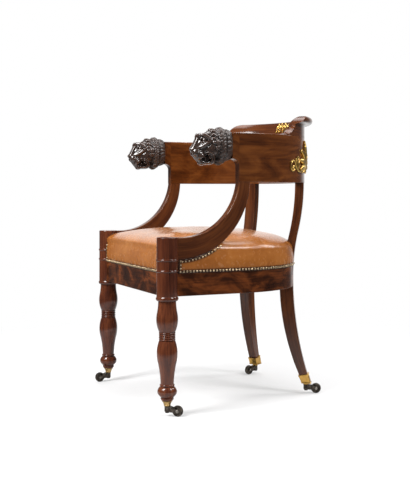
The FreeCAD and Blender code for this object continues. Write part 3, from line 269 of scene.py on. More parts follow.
class Carving:
    # a lump as a field of distances on a grid of millimetres, negative inside
    def __init__(self, look):
        self.cell = look["cell"]
        self.low = np.array(look["low"], float)
        self.axes = [np.arange(start, end + self.cell, self.cell)
                     for start, end in zip(look["low"], look["high"])]
        self.field = np.full([len(axis) for axis in self.axes], carvingSet["empty"], np.float32)

    def window(self, low, high):
        # the part of the grid between two corners, and its coordinates
        cut = tuple(slice(int(np.searchsorted(axis, start)), int(np.searchsorted(axis, end, "right")))
                    for axis, start, end in zip(self.axes, low, high))
        return cut, np.meshgrid(*[axis[part] for axis, part in zip(self.axes, cut)], indexing="ij",
                                sparse=True)

    def blend(self, cut, distance, soft, cutting):
        # smooth union of the field with a distance, or a smooth cut by it
        sign = -1 if cutting else 1
        old = sign * self.field[cut]
        overlap = np.maximum(soft - np.abs(old - distance), 0) / soft
        self.field[cut] = sign * (np.minimum(old, distance) - overlap ** 2 * soft / 4)

    def ball(self, centre, radii, soft=3.0, cutting=False, tilt=0.0):
        # ellipsoid: with q = p / r, the distance is |q| (|q| - 1) / |p / r^2|; tilt lifts its front
        reach = np.full(3, max(radii)) if tilt else np.array(radii, float)
        reach = reach + soft + carvingSet["ballMargin"]
        cut, grid = self.window(np.array(centre) - reach, np.array(centre) + reach)
        across, forward, up = [axis - middle for axis, middle in zip(grid, centre)]
        cosine, sine = math.cos(math.radians(tilt)), math.sin(math.radians(tilt))
        parts = (across, forward * cosine + up * sine, up * cosine - forward * sine)
        near = np.sqrt(sum((part / radius) ** 2 for part, radius in zip(parts, radii)))
        slope = np.sqrt(sum((part / radius ** 2) ** 2 for part, radius in zip(parts, radii)))
        self.blend(cut, near * (near - 1) / np.maximum(slope, 1e-6), soft, cutting)

    def strand(self, spots, radii, soft=2.0, cutting=False):
        # a chain of tapered rods: distance to the chain less the radius at the nearest place
        spots = np.array(spots, float)
        radii = np.interp(np.linspace(0, 1, len(spots)), np.linspace(0, 1, len(radii)), radii)
        reach = radii.max() + soft + carvingSet["strandMargin"]
        cut, grid = self.window(spots.min(0) - reach, spots.max(0) + reach)
        nearest = None
        for start, end, first, last in zip(spots[:-1], spots[1:], radii[:-1], radii[1:]):
            way = end - start
            offsets = [axis - middle for axis, middle in zip(grid, start)]
            along = sum(offset * step for offset, step in zip(offsets, way)) / max(way @ way, 1e-9)
            along = np.clip(along, 0, 1)
            gap = np.sqrt(sum((offset - along * step) ** 2 for offset, step in zip(offsets, way)))
            gap = gap - (first + (last - first) * along)
            nearest = gap if nearest is None else np.minimum(nearest, gap)
        self.blend(cut, nearest, soft, cutting)

    def loft(self, rows, power=2.2, smooth=7):
        # a skin over ovals in rows (forward, half width, underside, top): with q the place over the oval's
        # halves, the distance is (|q| - 1) times the smaller half
        across, forward, up = np.meshgrid(*self.axes, indexing="ij", sparse=True)
        rows = np.array(rows, float).T
        weight = np.hanning(smooth + 2)[1:-1]
        fine = [np.interp(self.axes[1], rows[0], row) for row in rows[1:]]
        fine = [np.convolve(np.pad(row, smooth // 2, "edge"), weight / weight.sum(), "valid") for row in fine]
        wide, low, high = [row[None, :, None] for row in fine]
        tall, middle = (high - low) / 2, (high + low) / 2
        near = (np.abs(across / wide) ** power + np.abs((up - middle) / tall) ** power) ** (1 / power)
        distance = np.maximum((near - 1) * np.minimum(wide, tall), forward - rows[0][-1])
        self.field = np.minimum(self.field, distance.astype(np.float32))

    def skin(self, origin, way):
        # the farthest place along a ray that lies inside the lump
        way = unit(np.array(way, float))
        steps = np.arange(*carvingSet["ray"])[:, None]
        places = np.array(origin) + way * steps
        index = np.rint((places - self.low) / self.cell).astype(int)
        good = np.all((index >= 0) & (index < self.field.shape), axis=1)
        inside = np.zeros(len(steps), bool)
        inside[good] = self.field[tuple(index[good].T)] < 0
        return places[np.max(np.nonzero(inside)[0], initial=0)]

    def curl(self, origin, way, size, thick, turns=1.5, lift=0.0, hand=1, soft=1.5):
        # a coil of hair on the skin: a spiral in the plane across the ray
        way = unit(np.array(way, float))
        spot = self.skin(origin, way) + way * lift
        side = unit(np.cross(way, [0, 1, 0]))
        third = np.cross(way, side)
        t = np.linspace(0, 1, carvingSet["curlPoints"])[:, None]
        turn = 2 * math.pi * turns * t * hand
        radius = size * (1 - carvingSet["curlShrink"] * t)
        circle = np.cos(turn) * side + np.sin(turn) * third
        spiral = spot + radius * circle + way * carvingSet["curlRise"] * t
        self.strand(spiral, thick * np.array(carvingSet["curlTaper"]), soft)

    def whole(self):
        # nothing is left where forward is negative, and a lump worked from across = 0 gets its other half
        field = np.maximum(self.field, -self.axes[1].astype(np.float32)[:, None])
        self.field = np.concatenate([field[:0:-1], field])
        self.low[0] = -self.axes[0][-1]
        self.axes[0] = np.concatenate([-self.axes[0][:0:-1], self.axes[0]])

    def softened(self, reach):
        # the field averaged over a small block
        field = np.clip(self.field, -carvingSet["clip"], carvingSet["clip"])
        for axis in range(3):
            padded = np.concatenate([np.repeat(field.take([0], axis), reach + 1, axis), field,
                                     np.repeat(field.take([-1], axis), reach, axis)], axis)
            total = np.cumsum(padded, axis, dtype=np.float64)
            width = 2 * reach + 1
            count = field.shape[axis]
            field = (total.take(range(width, width + count), axis) - total.take(range(count), axis)) / width
        return field

    def surface(self, reach=3, gain=1.1):
        # one point in each cell that the surface crosses, at the mean of its edge crossings, and one quad
        # round each crossed edge; relief is high on ridges and low in hollows
        cells = np.array(self.field.shape) - 1
        total = int(np.prod(cells))
        sums = np.zeros((total, 4))
        edges = []
        for axis in range(3):
            low = np.moveaxis(self.field, axis, 0)[:-1]
            high = np.moveaxis(self.field, axis, 0)[1:]
            spot = np.argwhere((low < 0) != (high < 0))
            first, last = low[tuple(spot.T)], high[tuple(spot.T)]
            others = [other for other in range(3) if other != axis]
            index = np.empty_like(spot)
            index[:, [axis, *others]] = spot
            place = np.column_stack([index, np.ones(len(index))])
            place[:, axis] += first / (first - last)
            ring = []
            for steps in ((0, 0), (1, 0), (1, 1), (0, 1)):
                cell = index.copy()
                cell[:, [(axis + 1) % 3, (axis + 2) % 3]] -= steps
                ring.append(np.ravel_multi_index(np.clip(cell, 0, cells - 1).T, cells))
                for channel in range(4):
                    sums[:, channel] += np.bincount(ring[-1], place[:, channel], total)
            ring = np.stack(ring, -1)
            edges.append(np.where((first < 0)[:, None], ring, ring[:, ::-1]))
        used = np.nonzero(sums[:, 3])[0]
        number = np.zeros(total, int)
        number[used] = np.arange(len(used))
        places = sums[used, :3] / sums[used, 3:]
        nearest = np.rint(places).astype(int)
        relief = np.clip(0.5 + gain * self.softened(reach)[tuple(nearest.T)], 0, 1)
        return self.low + places * self.cell, number[np.concatenate(edges)], relief


# shader maths

class Shade:
    # a socket with arithmetic: an expression on values adds its Math nodes
    def __init__(self, tree, socket):
        self.tree = tree
        self.socket = socket

    def math(self, operation, *others):
        # this value and the others through one Math node
        return self.tree.node("ShaderNodeMath", {"operation": operation}, dict(enumerate((self, *others))))

    def __add__(self, other):
        return self.math("ADD", other)

    def __mul__(self, other):
        return self.math("MULTIPLY", other)

    def __sub__(self, other):
        return self.math("SUBTRACT", other)

    def __rsub__(self, other):
        return self.tree.node("ShaderNodeMath", {"operation": "SUBTRACT"}, {0: other, 1: self})

    __radd__ = __add__
    __rmul__ = __mul__

    def clip(self, low, high):
        # 0 below low, 1 above high, and 3s^2 - 2s^3 of the share s between them
        return self.tree.node("ShaderNodeMapRange", {"interpolation_type": "SMOOTHSTEP"},
                              {"Value": self, "From Min": low, "From Max": high})

    def scaled(self, *factors):
        # a vector times a factor for each axis
        return self.tree.node("ShaderNodeVectorMath", {"operation": "MULTIPLY"}, {0: self, 1: factors})


class Finish:
    # a node tree that grows through one method, for a new material or for the world
    def __init__(self, name, owner=None):
        self.owner = owner or bpy.data.materials.new(name)
        self.owner.use_nodes = True
        self.nodes, self.links = self.owner.node_tree.nodes, self.owner.node_tree.links

    def node(self, kind, settings=None, inputs=None, output=0):
        # a new node: its settings, with a ramp's stops, its inputs by name or number, and one output
        made = self.nodes.new(kind)
        for label, value in (settings or {}).items():
            if label == "stops":
                while len(made.color_ramp.elements) < len(value):
                    made.color_ramp.elements.new(0.5)
                for element, (position, colour) in zip(made.color_ramp.elements, value):
                    element.position = position
                    element.color = (*colour, 1)
            else:
                setattr(made, label, value)
        for label, value in (inputs or {}).items():
            self.feed(made.inputs[label], value)
        return Shade(self, made.outputs[output])

    def feed(self, socket, value):
        # a link for a value of the tree, or a constant
        if isinstance(value, Shade):
            self.links.new(value.socket, socket)
        else:
            socket.default_value = value

    def attribute(self, name, output="Fac"):
        # a point attribute of the mesh
        return self.node("ShaderNodeAttribute", {"attribute_name": name}, output=output)

    def place(self):
        # the piece's own coordinates
        return self.node("ShaderNodeTexCoord", output="Object")

    def noise(self, vector, scale=1.0, detail=4.0, roughness=0.55, distortion=0.0):
        # noise at a scale, with finer and weaker noise added
        return self.node("ShaderNodeTexNoise", inputs={"Vector": vector, "Scale": scale, "Detail": detail,
                                                       "Roughness": roughness, "Distortion": distortion})

    def ramp(self, factor, *stops):
        # a colour for a factor, even between the stops
        return self.node("ShaderNodeValToRGB", {"stops": stops}, {"Fac": factor})

    def mix(self, factor, first, second):
        # first + (second - first) * factor, for colours
        first, second = [value if isinstance(value, Shade) else (*value, 1) for value in (first, second)]
        return self.node("ShaderNodeMix", {"data_type": "RGBA"}, {0: factor, 6: first, 7: second}, output=2)

    def bump(self, height, strength, distance):
        # a normal tilted by the slope of a height
        return self.node("ShaderNodeBump", inputs={"Height": height, "Strength": strength,
                                                   "Distance": distance})

    def shows(self, output, shader):
        # the shader that a material or the world ends with
        self.feed(self.nodes[output].inputs["Surface"], shader)

    def done(self, **inputs):
        # feeds the material's own shader, and gives the material
        for label, value in inputs.items():
            self.feed(self.nodes["Principled BSDF"].inputs[label.replace("_", " ")], value)
        return self.owner


def mahogany(name, look):
    # polished wood: streaks and pores drawn out along the grain, a broad figure, edges rubbed paler
    wood = Finish(name)
    grain = wood.attribute("grain", "Vector")
    figure = wood.noise(grain.scaled(*look["figure"]), detail=5, distortion=look["flame"])
    streak = wood.noise(grain.scaled(*look["streaks"]), detail=5, roughness=0.6)
    pore = wood.noise(grain.scaled(*look["pores"]), detail=2).clip(*look["poreRange"])
    tone = figure * look["figureShare"] + streak * (1 - look["figureShare"])
    colour = wood.ramp(tone, *zip(look["stops"], (look["dark"], look["middle"], look["light"])))
    rubbed = wood.attribute("wear") * wood.noise(grain, look["rubScale"], detail=3).clip(*look["rubRange"])
    colour = wood.mix(rubbed * look["edge"], colour, look["rubbed"])
    colour = wood.mix(pore * look["poreShare"], colour, look["pore"])
    dull = wood.noise(grain, look["dullScale"], detail=3) * look["dull"] + pore * look["poreDull"]
    return wood.done(Base_Color=colour, Roughness=dull + look["roughness"], Specular_IOR_Level=look["gloss"],
                     Normal=wood.bump(pore * -1 + streak * look["streakRise"], *look["bump"]))


turnedLook = dict(dark=(0.024, 0.0062, 0.0034), middle=(0.070, 0.0170, 0.0072), light=(0.155, 0.043, 0.0155),
                  rubbed=(0.220, 0.084, 0.034), pore=(0.010, 0.004, 0.0025), stops=(0.30, 0.47, 0.66),
                  figure=(5, 26, 26), flame=0.6, figureShare=0.55, streaks=(7, 190, 190), streakRise=0.3,
                  pores=(55, 1900, 1900), poreRange=(0.60, 0.74), poreShare=0.55, poreDull=0.12,
                  rubScale=40, rubRange=(0.40, 0.68), edge=0.25, dullScale=26, dull=0.10, roughness=0.10,
                  gloss=0.45, bump=(0.06, 0.0006))
frameLook = dict(turnedLook, dark=(0.026, 0.0072, 0.0030), middle=(0.072, 0.0195, 0.0060),
                 light=(0.140, 0.042, 0.011), edge=0.42, gloss=0.42)
veneerLook = dict(frameLook, dark=(0.034, 0.0086, 0.0026), middle=(0.092, 0.0245, 0.0052),
                  light=(0.175, 0.053, 0.0110), figure=(7, 12, 20), flame=1.6, figureShare=0.72, gloss=0.36)
railLook = dict(frameLook, dark=(0.010, 0.0036, 0.0020), middle=(0.036, 0.0100, 0.0038),
                light=(0.170, 0.045, 0.0115), figure=(9, 10, 14), flame=1.6, figureShare=0.75, gloss=0.26)
turnedWood = mahogany("turnedMahogany", turnedLook)
railWood = mahogany("railMahogany", railLook)
frameWood = mahogany("frameMahogany", frameLook)
veneerWood = mahogany("veneerMahogany", veneerLook)


def darkCarving(name, look):
    # carved wood under dark stain: lighter brown on the high places, partly rubbed wear and partly painted
    # highlight, and near black in the cuts as painted shade; the face is polished, the hair is duller
    wood = Finish(name)
    place = wood.place()
    relief, polish = wood.attribute("relief"), wood.attribute("polish")
    tone = wood.noise(place, look["scale"], detail=5)
    colour = wood.ramp(tone, *look["stops"])
    # ridges lighter: partly rubbed wear, partly painted highlight
    colour = wood.mix(relief.clip(*look["rubRange"]) * look["rub"], colour, look["rubbed"])
    # painted shade: the cuts and hollows, where the relief is low, go near black
    colour = wood.mix((1 - relief).clip(*look["cutRange"]) * look["cut"], colour, look["stain"])
    streak = wood.noise(place.scaled(*look["streaks"]), detail=3)
    dull = tone * look["dull"] + look["roughness"] - polish * look["polish"]
    return wood.done(Base_Color=colour, Roughness=dull, Specular_IOR_Level=look["gloss"],
                     Coat_Weight=relief.clip(*look["coatRange"]) * polish,
                     Coat_Roughness=look["coatRoughness"], Normal=wood.bump(streak, *look["bump"]))


# the rubbed colour lightens the ridges as wear and painted highlight; the hollow shade paints the cuts near
# black
carvedLook = dict(scale=60, stops=((0.30, (0.016, 0.0085, 0.0062)), (0.72, (0.044, 0.022, 0.015))),
                  rubRange=(0.55, 0.95), rub=0.45, rubbed=(0.095, 0.046, 0.028),
                  cutRange=(0.55, 0.90), cut=0.75, stain=(0.006, 0.004, 0.003), streaks=(700, 120, 700),
                  dull=0.12, roughness=0.36, polish=0.18, gloss=0.8, coatRange=(0.35, 0.75),
                  coatRoughness=0.12, bump=(0.05, 0.0006))
carvedWood = darkCarving("darkCarving", carvedLook)


def waxedHide(name, look):
    # leather: fine pebbles and creases, paler over the crown as rubbed wear and as painted highlight, near
    # black in painted shade along the nails, the arms and the posts
    hide = Finish(name)
    place = hide.place()
    crown = hide.attribute("crown")
    cloud = hide.noise(place, look["cloud"], detail=6, roughness=0.62)
    mottle = hide.noise(place, look["mottle"], detail=4)
    pebble = hide.node("ShaderNodeTexVoronoi", {"feature": "DISTANCE_TO_EDGE"},
                       {"Vector": place, "Scale": look["pebbles"]}, output="Distance")
    colour = hide.ramp(cloud * (1 - look["mottleShare"]) + mottle * look["mottleShare"], *look["stops"])
    # paler over the crown: partly rubbed wear, partly painted highlight
    colour = hide.mix(crown * look["rub"], colour, look["rubbed"])
    # painted shade: near black along the nailed edges, under the arms and beside the posts
    colour = hide.mix(hide.attribute("seam") * look["seamShare"], colour, look["seam"])
    scuff = hide.noise(place, look["scuffs"], detail=7, roughness=0.7).clip(*look["scuffRange"])
    colour = hide.mix(scuff * look["scuffShare"], colour, look["scuffed"])
    dull = mottle * look["dull"] + scuff * look["scuffDull"] + look["roughness"]
    return hide.done(Base_Color=colour, Roughness=dull, Specular_IOR_Level=look["gloss"],
                     Coat_Weight=crown * look["crownCoat"] + look["coat"],
                     Coat_Roughness=look["coatRoughness"],
                     Normal=hide.bump(pebble.clip(*look["pebbleRange"]) + mottle * look["crease"],
                                      *look["bump"]))


hideLook = dict(cloud=9, mottle=75, mottleShare=0.25, pebbles=620.0, pebbleRange=(0.0, 0.14), crease=0.8,
                stops=((0.30, (0.210, 0.060, 0.009)), (0.52, (0.345, 0.112, 0.017)),
                       (0.74, (0.470, 0.180, 0.040))),
                rub=0.25, rubbed=(0.480, 0.210, 0.070), seamShare=0.96, seam=(0.022, 0.008, 0.004),
                scuffs=34, scuffRange=(0.56, 0.72), scuffShare=0.18, scuffed=(0.680, 0.430, 0.240),
                dull=0.12, scuffDull=0.10, roughness=0.20, gloss=0.5, crownCoat=0.45, coat=0.15,
                coatRoughness=0.12, bump=(0.12, 0.0008))
hideFinish = waxedHide("tanLeather", hideLook)


def agedMetal(name, look):
    # metal with a cloudy patina and pits, and brown in the hollows where the piece has relief
    metal = Finish(name)
    place = metal.place()
    cloud = metal.noise(place, look["cloud"], detail=5)
    colour = metal.ramp(cloud, *zip(look["stops"], (look["dark"], look["light"])))
    if look["hollow"]:
        relief = metal.attribute("relief")
        colour = metal.mix((1 - relief).clip(*look["hollowRange"]) * look["hollow"], colour, look["patina"])
    dull = cloud * look["dull"] + look["roughness"]
    return metal.done(Base_Color=colour, Metallic=look["metallic"], Roughness=dull,
                      Normal=metal.bump(metal.noise(place, look["pits"], detail=2), *look["bump"]))


castLook = dict(metallic=1.0, stops=(0.32, 0.68), hollowRange=(0.52, 0.92), dull=0.14, pits=900,
                bump=(0.05, 0.0004))
fittingLook = dict(stops=(0.35, 0.68), cloud=140, hollow=0, dull=0.2, pits=1200, bump=(0.10, 0.0004))
giltFinish = agedMetal("giltBronze", dict(castLook, dark=(0.70, 0.40, 0.09), light=(0.96, 0.66, 0.21),
                                          cloud=55, patina=(0.06, 0.028, 0.010), hollow=0.92, roughness=0.22))
sabotFinish = agedMetal("giltSabot", dict(castLook, dark=(0.54, 0.29, 0.060), light=(0.80, 0.49, 0.135),
                                          cloud=70, patina=(0.05, 0.024, 0.009), hollow=0.9, roughness=0.24))
brassFinish = agedMetal("agedBrass", dict(castLook, dark=(0.36, 0.22, 0.08), light=(0.66, 0.45, 0.19),
                                          cloud=160, patina=(0.09, 0.05, 0.02), hollow=0.8, roughness=0.26))
# on the nails the near-black patina paints shade round the rim of each dome
nailFinish = agedMetal("nailBrass", dict(castLook, dark=(0.40, 0.29, 0.17), light=(0.68, 0.52, 0.33),
                                         cloud=90, patina=(0.020, 0.010, 0.006), hollow=1.0, roughness=0.26))
ironFinish = agedMetal("darkIron", dict(fittingLook, dark=(0.020, 0.016, 0.013), light=(0.130, 0.106, 0.086),
                                        metallic=0.8, roughness=0.28))
steelFinish = agedMetal("wornSteel", dict(fittingLook, dark=(0.16, 0.14, 0.12), light=(0.42, 0.39, 0.35),
                                          metallic=1.0, roughness=0.30))


def wovenCloth(name, look):
    # plain weave: yarn is sin(x) sin(y) at the weave's pitch, with uneven colour and stripes beside the edges
    cloth = Finish(name)
    place = cloth.place()
    split = [cloth.node("ShaderNodeSeparateXYZ", inputs={0: place}, output=axis) for axis in (0, 1)]
    waves = [(axis * look["pitch"]).math("SINE") for axis in split]
    yarn = waves[0] * waves[1] * 0.5 + 0.5
    cloud = cloth.noise(place, look["cloud"], detail=4)
    colour = cloth.ramp(yarn * 0.5 + cloud * 0.5, *zip(look["stops"], (look["dark"], look["light"])))
    if look["stripe"]:
        edge = cloth.attribute("stripe")
        begins, ends = [edge.clip(*stretch) for stretch in look["stripeRange"]]
        colour = cloth.mix(begins * (1 - ends) * look["stripeShare"], colour, look["stripe"])
    return cloth.done(Base_Color=colour, Roughness=look["roughness"], Normal=cloth.bump(yarn, *look["bump"]))


hessianLook = dict(pitch=2600.0, dark=(0.20, 0.135, 0.07), light=(0.46, 0.35, 0.21), stripe=None, cloud=120,
                   stops=(0.25, 0.75), roughness=0.92, bump=(0.5, 0.0008))
webbingLook = dict(hessianLook, pitch=1900.0, dark=(0.17, 0.12, 0.07), light=(0.50, 0.40, 0.27),
                   stripe=(0.045, 0.030, 0.022), stripeRange=((0.55, 0.60), (0.72, 0.77)), stripeShare=0.85)
hessianFinish = wovenCloth("hessian", hessianLook)
webbingFinish = wovenCloth("webbing", webbingLook)


def rawBeech(name, look):
    # pale timber with short dark flecks along the piece
    wood = Finish(name)
    fleck = wood.noise(wood.place().scaled(*look["flecks"]), detail=3)
    return wood.done(Base_Color=wood.ramp(fleck, *look["stops"]),
                     Roughness=fleck * look["dull"] + look["roughness"])


beechLook = dict(flecks=(60, 60, 500), stops=((0.35, (0.36, 0.22, 0.11)), (0.70, (0.52, 0.35, 0.20))),
                 dull=0.2, roughness=0.6)
timberFinish = rawBeech("plainTimber", beechLook)
print("materials made")


# turned front legs: corners (radius, height, bulge of the stretch above), in millimetres
legSet = dict(columns=96, steps=12, ring=(20.4, 2.7), ringFrom=204.0, ringPitch=5.7, ringCount=4,
              grainShift=0.31)
legCorners = [(0, 42, 0), (15, 42, 1.5), (17.2, 50.2, 0), (16.6, 50.6, 0), (16.6, 51.2, 0), (18.2, 51.6, 7.5),
              (20.0, 79.6, 0), (18.2, 80.0, 0), (18.2, 80.8, 0), (18.8, 81.2, 1.7), (18.7, 86.4, 0),
              (18.0, 86.8, -1.2), (24.4, 140, 5.2), (22.3, 203.6, 0)]
for number in range(legSet["ringCount"]):
    legCorners.append((legSet["ring"][0], legSet["ringFrom"] + legSet["ringPitch"] * number,
                       legSet["ring"][1]))
legCorners += [(20.4, 226.8, 0), (22.3, 227.2, 4.4), (27.4, 280, -0.8), (24.5, 311.1, 0), (28.6, 311.3, 2.2),
               (28.9, 322.1, 0), (29.0, 322.5, 0), (29.0, 386.9, 0), (28.7, 387.2, 2.2), (28.7, 394.8, 0),
               (29.0, 395.1, 0), (29.0, 416.9, 0), (28.7, 417.2, 2.2), (28.7, 424.8, 0), (29.0, 425.1, 0),
               (29.0, 479.0, 1.2), (26.0, 482.0, 0), (0, 482, 0)]
legProfile = bulgeRun(legCorners, legSet["steps"]) * millimetre
for name, side in sides.items():
    foot = (side * halfWidth, legLine, 0)
    rings = turnedRings(legProfile, legSet["columns"], foot, upward, rightSide)
    ringPiece(f"frontLeg_{name}", rings, turnedWood, "mahogany", [f"front_leg_{name}"],
              grain=(rings - foot)[..., [2, 0, 1]] + side * legSet["grainShift"],
              wear=np.zeros(rings.shape[:2]))
print("front legs turned")


# sabre rear legs: edges as arcs of reach from the seat centre against height, in millimetres
sabreSet = dict(angle=33.0, width=36.0, footWidth=26.0, depth=40.0, backStart=350.0, frontStart=335.0,
                frontBend=300.0, sweepHeight=62.0, sweepReach=41.5, sweepDepth=26.0, footHeight=36.0,
                footReach=50.0, footDepth=24.0, rows=150, arcRows=50, overlap=1.0, round=1.6, grainShift=0.7)


def sweepRadius(start, end):
    # radius of the arc that leaves start upright and ends at end
    across, along = end[0] - start[0], end[1] - start[1]
    return (across ** 2 + along ** 2) / (2 * across)


def stileReach():
    # how far out along a rear leg the middle of the back lies: s cos(a) + sqrt(r^2 - (s sin(a))^2)
    setback, turn = backCentre - seatCentre, math.radians(sabreSet["angle"])
    return setback * math.cos(turn) + math.sqrt(halfWidth ** 2 - (setback * math.sin(turn)) ** 2)


def sabreEdges(heights):
    # reach of the back and the front edge: an arc out to the foot, and an ogee of two arcs up to the back
    look = sabreSet
    rail = seatRadius / millimetre
    stile, half = stileReach() / millimetre, backThickness / millimetre / 2
    edges = []
    for start, top, depth, sweepDepth, footDepth, bend in (
            (look["backStart"], stile + half, 0, 0, 0, None),
            (look["frontStart"], stile - half, look["depth"], look["sweepDepth"], look["footDepth"],
             look["frontBend"])):
        start, end = (rail - depth, start), (top, yokeBottom)
        sweep = (rail + look["sweepReach"] - sweepDepth, look["sweepHeight"])
        foot = (rail + look["footReach"] - footDepth, look["footHeight"])
        whole = sweepRadius(start, end)
        lower = whole / 2 if bend is None else bend
        turn = [low + (high - low) * lower / whole for low, high in zip(start, end)]
        run = np.concatenate([[foot], arcPoints(sweep, start, -sweepRadius(start, sweep), look["arcRows"]),
                              arcPoints(start, turn, -lower, look["arcRows"]),
                              arcPoints(turn, end, whole - lower, look["arcRows"])])
        edges.append(np.interp(heights, run[:, 1], run[:, 0]))
    return edges


def sabreFrame(side):
    # outward and sideways directions of a rear leg
    sine, cosine = math.sin(math.radians(sabreSet["angle"])), math.cos(math.radians(sabreSet["angle"]))
    return np.array([side * sine, cosine, 0]), np.array([side * cosine, -sine, 0])


def sabreBar(side, heights, backEdge, frontEdge, width, radius, grow=0.0):
    # a bar along a rear leg between its two edges, each side let out by grow
    outward, sideways = sabreFrame(side)
    centre = (backEdge + frontEdge)[:, None] / 2 * millimetre * outward + seatMiddle
    centre[:, 2] = heights * millimetre
    return roundBar(centre, sideways, outward, (width + 2 * grow) * millimetre,
                    (backEdge - frontEdge + 2 * grow) * millimetre, radius * millimetre)


heights = np.linspace(sabreSet["footHeight"], yokeBottom, sabreSet["rows"]) + sabreSet["overlap"]
backEdge, frontEdge = sabreEdges(np.minimum(heights, yokeBottom))
taper = partWay(heights, sabreSet["sweepHeight"], railLow.z / millimetre)
legWidth = sabreSet["footWidth"] + (sabreSet["width"] - sabreSet["footWidth"]) * taper
for name, side in sides.items():
    bar = sabreBar(side, heights, backEdge, frontEdge, legWidth, sabreSet["round"])
    barPiece(f"rearLeg_{name}", bar, frameWood, [f"rear_leg_{name}"], side * sabreSet["grainShift"])
print("rear legs shaped")


# seat rails: a rounded bar along the plan of the seat
railSet = dict(round=0.0012, rows=70, straightRows=40)


def planBar(path, height, low, thickness, radius):
    # an upright bar whose middle follows a path in plan
    way = unit(np.gradient(path, axis=0))
    across = np.stack([way[:, 1], -way[:, 0], np.zeros(len(path))], -1)
    middle = np.broadcast_to(low + height / 2, len(path))
    return roundBar(np.column_stack([path, middle]), across, upward, thickness, height, radius)


def around(centreY, radius, turn, *height):
    # places at a radius and an angle from +Y towards +X about a centre
    return np.stack([radius * np.sin(turn), centreY + radius * np.cos(turn), *height], -1)


def circlePath(centreY, radius, first, last, rows):
    # an arc in plan between two angles in degrees
    return around(centreY, radius, np.radians(np.linspace(first, last, rows)))


frontRun = np.linspace(-halfWidth, halfWidth, railSet["rows"])
sideRun = np.concatenate([columnOf(railMiddle, np.linspace(legLine, seatCentre, railSet["straightRows"])),
                          circlePath(seatCentre, railMiddle, 90, sabreSet["angle"], railSet["rows"])[1:]])
rearRun = circlePath(seatCentre, railMiddle, sabreSet["angle"], -sabreSet["angle"], railSet["rows"])
for name, node, run, shift in (
        ("frontRail", "front_seat_rail", columnOf(legLine, frontRun)[:, ::-1], 1.3),
        ("sideRail_left", "side_seat_rail_left", sideRun, 2.5),
        ("sideRail_right", "side_seat_rail_right", sideRun * (-1, 1), 1.7),
        ("rearRail", "rear_seat_rail", rearRun, 3.3)):
    bar = planBar(run, railHigh.z - railLow.z, railLow.z, railThickness, railSet["round"])
    barPiece(name, bar, railWood, [node], shift)
print("seat rails bent")


# arms: upper and lower edges leave level and sweep up to the back, in millimetres from the seat centre
armSet = dict(start=8.0, flat=41.0, underFlat=27.0, tall=60.0, neckReach=21.5, neckWidth=33.5, rows=90,
              round=2.2, grainShift=4.2)


def risingArc(start, end, t):
    # arc that leaves start level and ends at end
    across, along = end[0] - start[0], end[1] - start[1]
    radius = (across ** 2 + along ** 2) / (2 * along)
    angle = t * math.atan2(across, radius - along)
    return np.stack([start[0] + radius * np.sin(angle), start[1] + radius * (1 - np.cos(angle))], -1)


armUnder = armLow.z / millimetre
armTop = armUnder + armSet["tall"]
postY = (legLine - seatCentre) / millimetre
armT = np.linspace(0, 1, armSet["rows"])
armUpper, armLower = [
    np.concatenate([[(postY + armSet["start"], level)],
                    risingArc((postY + flat, level), (end, yokeBottom), armT)])
    for flat, level, end in ((armSet["flat"], armTop, -armSet["neckReach"]),
                             (armSet["underFlat"], armUnder, armSet["neckWidth"] - armSet["neckReach"]))]
armMiddle = (armUpper + armLower) / 2 * millimetre
armDepth = np.linalg.norm(armUpper - armLower, axis=1)
armRise = np.column_stack([np.zeros(len(armDepth)), unit(armUpper - armLower)])
for name, side in sides.items():
    centre = np.column_stack([np.full(len(armMiddle), side * halfWidth), armMiddle + (seatCentre, 0)])
    bar = roundBar(centre, rightSide, armRise, backThickness, armDepth * millimetre,
                   armSet["round"] * millimetre)
    barPiece(f"arm_{name}", bar, frameWood, [f"arm_{name}"], armSet["grainShift"] + side)
print("arms swept")


# the back: a tall bar along a horseshoe, its front ends cut up under the heads
yokeSet = dict(throatRise=0.065, headReach=0.042, round=0.0016, arcRows=150, throatRows=14, endRows=12,
               step=0.0001, landing=0.002, grainShift=6.0)
throat = yokeSet["headReach"] - armSet["neckReach"] * millimetre
angle = np.linspace(math.pi / 2, 0, yokeSet["throatRows"])
frontY = seatCentre - yokeSet["headReach"] + throat * np.cos(angle)
frontLow = yokeLow.z + yokeSet["throatRise"] - throat + throat * np.sin(angle)
endY = np.concatenate([frontY, [frontY[-1] + yokeSet["step"]],
                       np.linspace(frontY[-1] + yokeSet["landing"], backCentre, yokeSet["endRows"])])
endLow = np.concatenate([frontLow, np.full(len(endY) - len(frontLow), yokeLow.z)])
arc = circlePath(backCentre, halfWidth, 90, -90, yokeSet["arcRows"])[1:-1]
yokePath = np.concatenate([columnOf(halfWidth, endY), arc, columnOf(-halfWidth, endY[::-1])])
yokeFoot = np.concatenate([endLow, np.full(len(arc), yokeLow.z), endLow[::-1]])
bar = planBar(yokePath, yokeHigh.z - yokeFoot, yokeFoot, backThickness, yokeSet["round"])
barPiece("backYoke", bar, veneerWood, ["back_yoke"], yokeSet["grainShift"])
print("back bent")


# the crest: a rolled section turned about the back's axis, cut down to an ogee ramp at each end
crestSet = dict(halfAngle=67.0, rampAngle=57.0, rampLength=92.0, lip=2.0, rollReach=24.0, rollThickness=20.0,
                rollSlope=1.0, faceHeight=10.0, lean=25.0, cove=8.0, sag=((14, 1.2), (4, 0.3)), underRun=3.0,
                flatRows=9, footRows=6, faceRows=24, rows=260, soften=0.7, levels=240, near=1.6, clear=20.0,
                grainShift=8.0)


